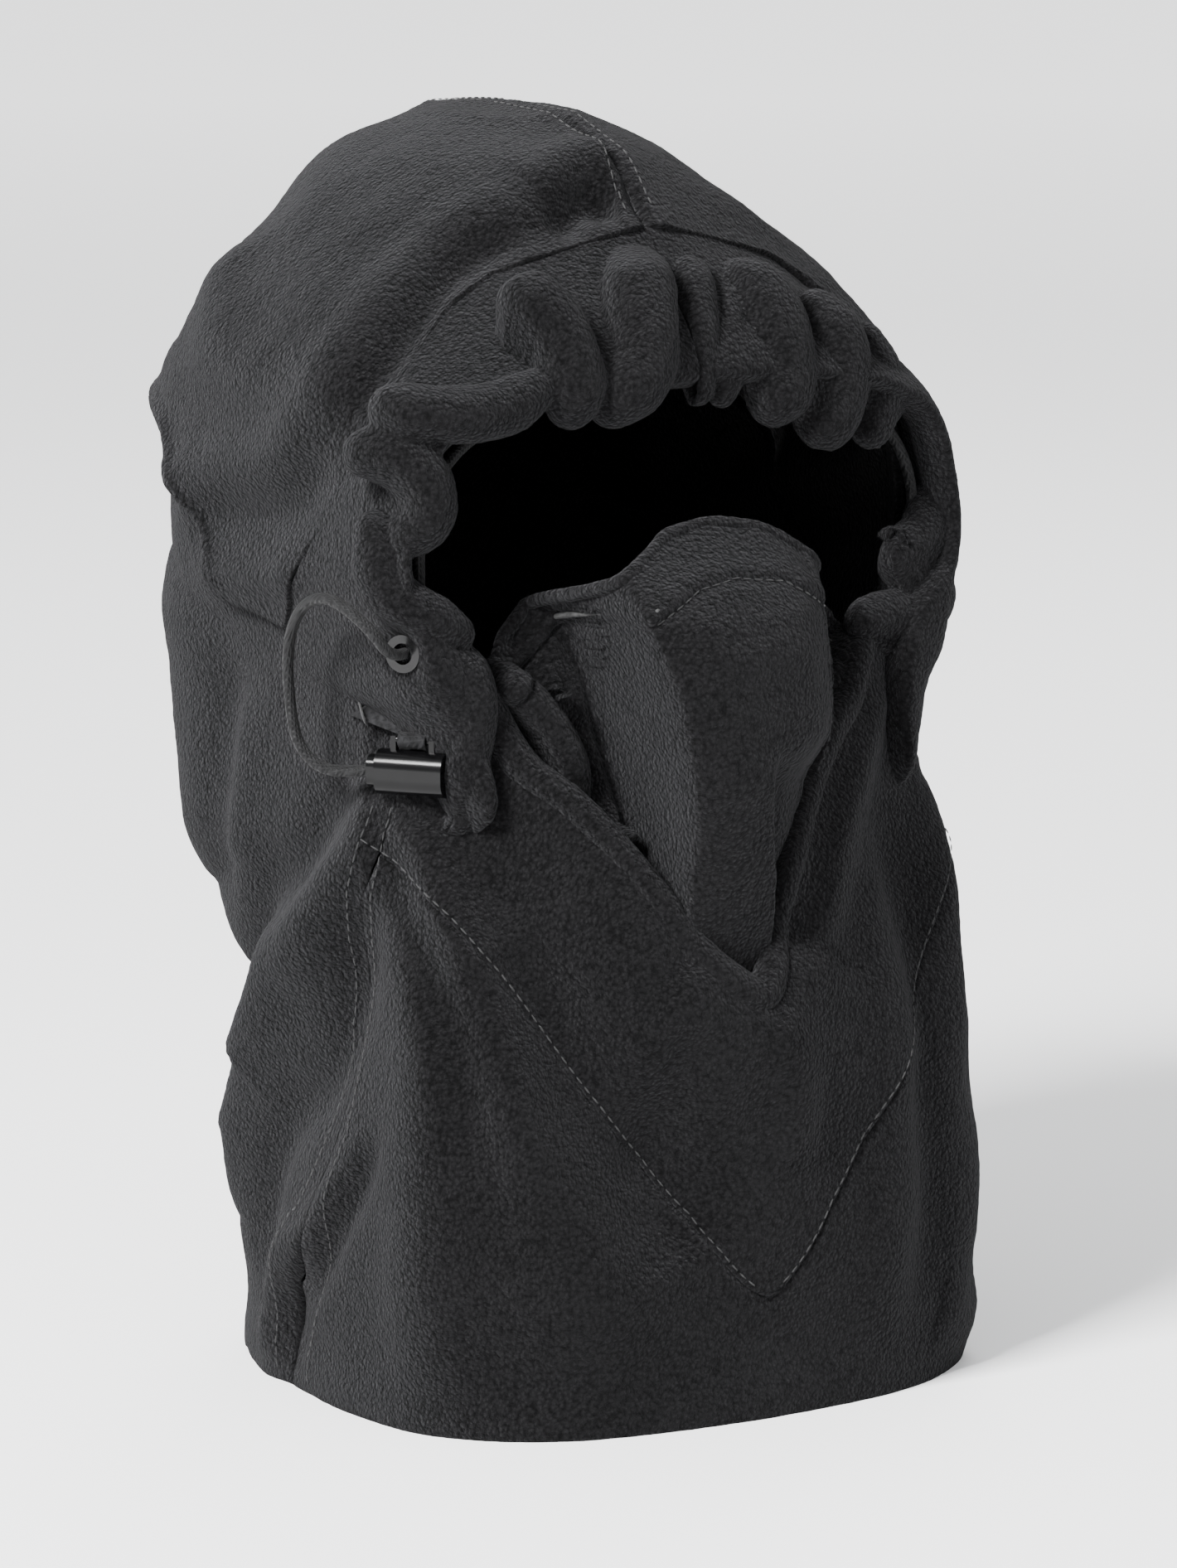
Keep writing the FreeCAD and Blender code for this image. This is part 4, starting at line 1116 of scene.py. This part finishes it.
# ------------------------------------------------------------------ mask
@dataclass
class Mask:
    """The beaked mask, its top casing and its cheeks, as one shaped cloth."""

    skin: Skin
    top: tuple[tuple[float, float], ...] = (
        (-70, 180), (-55, 185.5), (-49, 190.5), (-41.6, 198.7), (-35.5, 205.7), (-31.8, 208.8),
        (-23.8, 213.4), (-15.9, 217.8), (-5, 219.7), (8.8, 218), (23.7, 210), (33.7, 202), (40.6, 194.6),
        (50, 187), (60, 183), (70, 180))
    ridge: tuple[tuple[float, float], ...] = (
        (98, -68), (108, -71), (120, -75), (140, -80), (158, -84), (175, -85.5), (190, -83), (198, -80),
        (205, -75), (212, -67.5), (220, -60))
    right: tuple[tuple[float, float], ...] = (
        (98, 11), (108, 14), (126, 18.5), (147, 19.5), (165, 22), (180, 25), (200, 31), (210, 29), (220, 25))
    left: tuple[tuple[float, float], ...] = (
        (98, 9), (108, 10), (120, 12), (140, 17), (160, 20), (180, 21), (200, 21), (210, 20), (220, 18))
    hollow: tuple[tuple[float, float], ...] = ((98, 5), (125, 3), (150, -1.5), (168, -4), (220, -4))
    puffs: tuple[Puff, ...] = (
        Puff(((-46, -44, 194), (-40, -47, 194), (-34, -49, 187), (-38, -47, 181)), 4.8),
        Puff(((-36, -50, 199), (-36, -53, 189), (-32, -57, 176), (-29, -57, 160), (-26, -57, 146)), 5.4),
        Puff(((-56, -40, 184), (-49, -42, 180), (-42, -45, 172), (-37, -47, 162), (-35, -47, 152)), 5.0),
    )
    reach: float = 66.0
    low: float = 98.0
    tuck: float = 12.0
    groove: float = 4.0
    sink: float = 10.5
    casing: float = 12.5
    cloth: float = 2.4

    def depth(self, x: np.ndarray, z: np.ndarray) -> np.ndarray:
        """y of the mask in front view."""
        values = self.skin.values(z)
        share = np.clip(np.abs(x) / values[:, 1], 0, 0.999)
        form = values[:, 0] - values[:, 2] * (1 - share ** values[:, 3]) ** (1 / values[:, 3])
        open_cheek = -41.0 + (np.abs(x) / 66.0) ** 3 * 16.0
        base = form + 7.0 + (open_cheek - form - 7.0) * ease(z, 172.0, 196.0)
        front = line_over(self.ridge, z)
        wide = np.where(x < 0, line_over(self.right, z), line_over(self.left, z))
        t = np.abs(x) / wide
        crisp = np.where(x < 0, 0.09, 0.42) + 0.3 * ease(z, 196.0, 212.0)
        fall = np.where(x < 0, 0.14, 0.22)
        bump = np.where(t < 1.0, 1.0 - fall * t ** 2.6, (1.0 - fall) * np.exp(-((t - 1.0) / crisp) ** 2))
        out = base + (front - base) * bump
        beside = np.exp(-((-x - wide - 2.6) / 1.8) ** 2)
        out += self.groove * beside * ease(z, 118.0, 135.0) * ease(203.0 - z, 0.0, 10.0)
        sink = ease(x - line_over(self.hollow, z), 0.0, 7.0) * ease(170.0 - z, 0.0, 16.0)
        return out + self.sink * sink * ease(z, 98.0, 118.0) * np.exp(-(np.maximum(x - 18.0, 0) / 16.0) ** 2)

    def surface(self, u: np.ndarray, v: np.ndarray) -> np.ndarray:
        """Points of the mask with its soft folds."""
        x = (np.clip(u, 0, 1) * 2 - 1) * self.reach
        high = line_over(self.top, x)
        v = np.clip(v, 0, 1)
        z = high + (self.low - high) * v
        y = self.depth(x, z)
        flat = np.stack([x, np.zeros(len(x)), z], axis=1)
        side = ease(np.abs(x), 30.0, 40.0)
        crumple = np.sin((np.abs(x) + 0.22 * (z - 180.0) + 2.2 * lattice_noise(flat, 15.0, 3)) / 2.6)
        y -= side * crumple * 1.4 * ease(z, 118.0, 160.0)
        y -= lattice_noise(flat, 22.0, 8) * 1.2 + lattice_noise(flat, 9.0, 12) * 0.4
        here = np.stack([x, y, z], axis=1)
        forward = np.zeros_like(here)
        forward[:, 1] = -1.0
        rolls = [*self.puffs, *(puff.mirrored() for puff in self.puffs)]
        y -= puffed(here, forward, rolls, 0.8, 16.0) * ease(high - z, -1.0, 6.0)
        y += self.tuck * ease(line_over(Outline().neckline, x) - z, 2.0, 15.0)
        seam = high - z - self.casing
        y += np.exp(-(seam / 0.9) ** 2) - 1.1 * np.exp(-((seam + 3.6) / 2.8) ** 2)
        return np.stack([x, y, z], axis=1)

    def build(self) -> None:
        """Make the mask's cloth, its rolled top edge, its elastic and the casing's stitches."""
        step = 1.0 * 1.0
        piece = grid_piece("mask_cloth", int(185 / step), int(130 / step), self.surface, FLEECE_NAP)
        face_out(piece, Vector((0, 0, 170 * MM)))
        thicken(piece, self.cloth)
        names = ["mask_nose_panel", "mask_cheek_right", "mask_cheek_left", "mask_top_casing"]
        adopt(piece, FLEECE, names)
        u = np.linspace(0.12, 0.88, 90)
        edge = self.surface(u, np.zeros(90)) + np.array([0.0, 1.2, -0.6])
        roll = tube_along("mask_edge_roll", edge[::3], lambda t: 1.9 + 0.15 * np.sin(t * 40.0), 150, 14,
                          FLEECE_NAP)
        adopt(roll, FLEECE)
        v = np.full(90, 0.075)
        out = mapped_normals(self.surface, u, v, 1e-3)
        out *= np.where(out[:, 1:2] > 0, -1.0, 1.0)
        band = self.surface(u, v) - out * self.cloth / 2
        adopt(tube_along("mask_elastic_band", band[::3], lambda t: np.full(len(t), 0.8), 120, 10), ELASTIC,
              ["mask_elastic"])
        x = np.linspace(-29.0, 33.0, 120)
        share = (x / self.reach + 1) / 2
        high = line_over(self.top, x)
        v = self.casing / (high - self.low)
        line = self.surface(share, v)
        normal = mapped_normals(self.surface, share, v, 1e-3)
        normal *= np.where(normal[:, 1:2] > 0, -1.0, 1.0)
        adopt(StitchRow().build("mask_stitch", line + normal * 0.25, normal), THREAD)


# ------------------------------------------------------------------ trims
LOOP_ROUTE = (
    (-89.0, -43.0, 197.0), (-92.4, -38.2, 202.0), (-94.4, -30.4, 204.8), (-95.0, -21.0, 202.4),
    (-94.6, -13.4, 195.2), (-93.6, -9.6, 186.0), (-92.6, -9.0, 176.5), (-91.9, -10.1, 167.6),
    (-89.6, -13.4, 161.9), (-85.9, -18.8, 159.4))
LOOP_START = ((-79.57, -40.45, 191.0), (-84.39, -43.31, 191.0))
LOOP_END = (-80.98, -27.10, 161.0)
CORD_RADIUS = 1.4


@dataclass
class Trims:
    """The cord loop, the bar tack's threads, and the finish of every CAD node."""

    def cord_loop(self, side: Side) -> bpy.types.Object:
        """The free bight of drawcord between eyelet and lock."""
        route = [*LOOP_START, *LOOP_ROUTE, LOOP_END]
        curve = bpy.data.curves.new("cord_loop_" + side.word, "CURVE")
        curve.dimensions = "3D"
        spline = curve.splines.new("NURBS")
        spline.points.add(len(route) - 1)
        for point, (x, y, z) in zip(spline.points, route):
            point.co = (-side.value * x * MM, y * MM, z * MM, 1.0)
        spline.order_u = 3
        spline.use_endpoint_u = True
        curve.resolution_u = 10
        curve.bevel_depth = CORD_RADIUS * MM
        curve.bevel_resolution = 5
        curve.use_fill_caps = True
        piece = bpy.data.objects.new("cord_loop_" + side.word, curve)
        bpy.context.scene.collection.objects.link(piece)
        dress(piece, CORD)
        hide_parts(side.word + "_cord_loop")
        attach(piece, GARMENT)
        log.info("%s: cord", piece.name)
        return piece

    def finish_nodes(self) -> None:
        """Give every CAD node that shows its own finish."""
        for name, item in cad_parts.items():
            if "eyelet" in name:
                dress(item, LACQUER)
            elif "spring" in name:
                dress(item, STEEL)
            elif "lock_tab" in name:
                dress(item, WEBBING)
            elif "lock" in name:
                dress(item, PLASTIC)
            elif "tack" in name:
                dress(item, THREAD)
            elif "label" in name:
                dress(item, LABEL)
            elif "elastic" in name:
                dress(item, ELASTIC)
            elif "cord" in name:
                dress(item, CORD)
            else:
                dress(item, FLEECE)

    def tack_threads(self, side: Side) -> bpy.types.Object:
        """Slanted threads of the bar tack on the webbing tab."""
        name = side.word + "_tab_tack"
        low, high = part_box(name)
        work = bmesh.new()
        middle = (low + high) / 2
        reach = Vector((side.value * 0.36, -0.86, -0.36)).normalized()
        outward = Vector((side.value, -0.25, 0.0)).normalized()
        for index in range(8):
            shift = reach * (index - 3.5) * 0.78 * MM
            turn = outward.to_track_quat("Z", "Y").to_matrix().to_4x4()
            lean = Matrix.Rotation(0.5, 4, "Z")
            shape = Matrix.Diagonal((0.34 * MM, 1.7 * MM, 0.34 * MM, 1.0))
            spot = Matrix.Translation(middle + shift + outward * 0.25 * MM)
            bmesh.ops.create_uvsphere(work, u_segments=8, v_segments=6, radius=1.0,
                                      matrix=spot @ turn @ lean @ shape)
        mesh = bpy.data.meshes.new("tack_threads_" + side.word)
        for face in work.faces:
            face.smooth = True
        work.to_mesh(mesh)
        work.free()
        return adopt(link(mesh.name, mesh), THREAD, [name])

    def build(self) -> None:
        """Make all the trims."""
        self.finish_nodes()
        self.cord_loop(Side.RIGHT)
        self.tack_threads(Side.RIGHT)


# ------------------------------------------------------------------ studio
@dataclass(frozen=True)
class Studio:
    """Pale floor with a painted glow that grows with distance, soft lights and the camera."""

    target: tuple[float, float, float] = (-1.2, 0.0, 145.6)
    back: tuple[float, float, float] = (-0.527, -0.831, 0.179)
    away: float = 1.7
    frame_tall: float = 394.0
    sensor: float = 36.0
    # painted light: emission strength of the floor's painted glow at its far edge
    far_floor_painted_glow: float = 1.1
    lamps: tuple[tuple[str, tuple[float, float, float], float, float], ...] = (
        ("key", (-1.5, -0.45, 1.5), 0.6, 190.0),
        ("rim", (0.9, 0.9, 1.3), 0.8, 14.0),
        ("front", (0.4, -1.8, 0.9), 1.2, 8.0),
    )

    def camera(self) -> None:
        """Place the camera."""
        data = bpy.data.cameras.new("camera")
        data.lens = self.sensor * self.away / (self.frame_tall * MM)
        data.sensor_width = self.sensor
        data.clip_start = 0.05
        item = bpy.data.objects.new("camera", data)
        back = Vector(self.back).normalized()
        item.location = Vector(self.target) * MM + back * self.away
        item.rotation_euler = back.to_track_quat("Z", "Y").to_euler()
        bpy.context.scene.collection.objects.link(item)
        bpy.context.scene.camera = item

    def light(self, name: str, place: tuple[float, float, float], size: float, power: float) -> None:
        """One soft square light that looks at the object."""
        data = bpy.data.lights.new(name, "AREA")
        data.size = size
        data.energy = power
        item = bpy.data.objects.new(name, data)
        item.location = place
        aim = Vector(place) - Vector(self.target) * MM
        item.rotation_euler = aim.to_track_quat("Z", "Y").to_euler()
        bpy.context.scene.collection.objects.link(item)

    def build(self) -> None:
        """Floor with its painted glow, world, lights and camera."""
        work = bmesh.new()
        bmesh.ops.create_grid(work, x_segments=2, y_segments=2, size=6.0)
        mesh = bpy.data.meshes.new("floor")
        work.to_mesh(mesh)
        work.free()
        floor = link("floor", mesh)
        material = bpy.data.materials.new("pale_floor_painted_glow")
        material.use_nodes = True
        shader = material.node_tree.nodes["Principled BSDF"]
        shader.inputs["Base Color"].default_value = (0.9, 0.9, 0.905, 1.0)
        shader.inputs["Roughness"].default_value = 0.9
        tree = material.node_tree
        place = tree.nodes.new("ShaderNodeTexCoord")
        reach = tree.nodes.new("ShaderNodeVectorMath")
        reach.operation = "LENGTH"
        # painted light: the floor's emission grows with distance from its centre, a painted glow that
        # brightens the far floor and lights the object from behind
        painted_floor_glow = tree.nodes.new("ShaderNodeMapRange")
        painted_floor_glow.inputs["From Min"].default_value = 0.6
        painted_floor_glow.inputs["From Max"].default_value = 4.0
        painted_floor_glow.inputs["To Max"].default_value = self.far_floor_painted_glow
        tree.links.new(place.outputs["Object"], reach.inputs[0])
        tree.links.new(reach.outputs["Value"], painted_floor_glow.inputs["Value"])
        tree.links.new(painted_floor_glow.outputs["Result"], shader.inputs["Emission Strength"])
        shader.inputs["Emission Color"].default_value = (1.0, 1.0, 1.0, 1.0)
        floor.data.materials.append(material)
        world = bpy.data.worlds.new("studio")
        world.use_nodes = True
        world.node_tree.nodes["Background"].inputs["Color"].default_value = (0.84, 0.85, 0.86, 1.0)
        world.node_tree.nodes["Background"].inputs["Strength"].default_value = 1.2
        bpy.context.scene.world = world
        for lamp in self.lamps:
            self.light(*lamp)
        self.camera()


def main() -> None:
    """Build the hood, the mask, the trims and the studio."""
    skin = Skin(folds=right_folds() + left_folds() + back_folds())
    panels = Panels(skin, Outline())
    for side, puffs in ((Side.RIGHT, NEAR_PUFFS), (Side.LEFT, FAR_PUFFS)):
        panels.hood(side)
        BrowRuff(skin, side, puffs).build()
    panels.neck()
    panels.bib_lower()
    panels.bib_yoke()
    panels.neckline_roll()
    panels.seam_rows()
    Mask(skin).build()
    Trims().build()
    Studio().build()


if __name__ == "__main__":
    main()
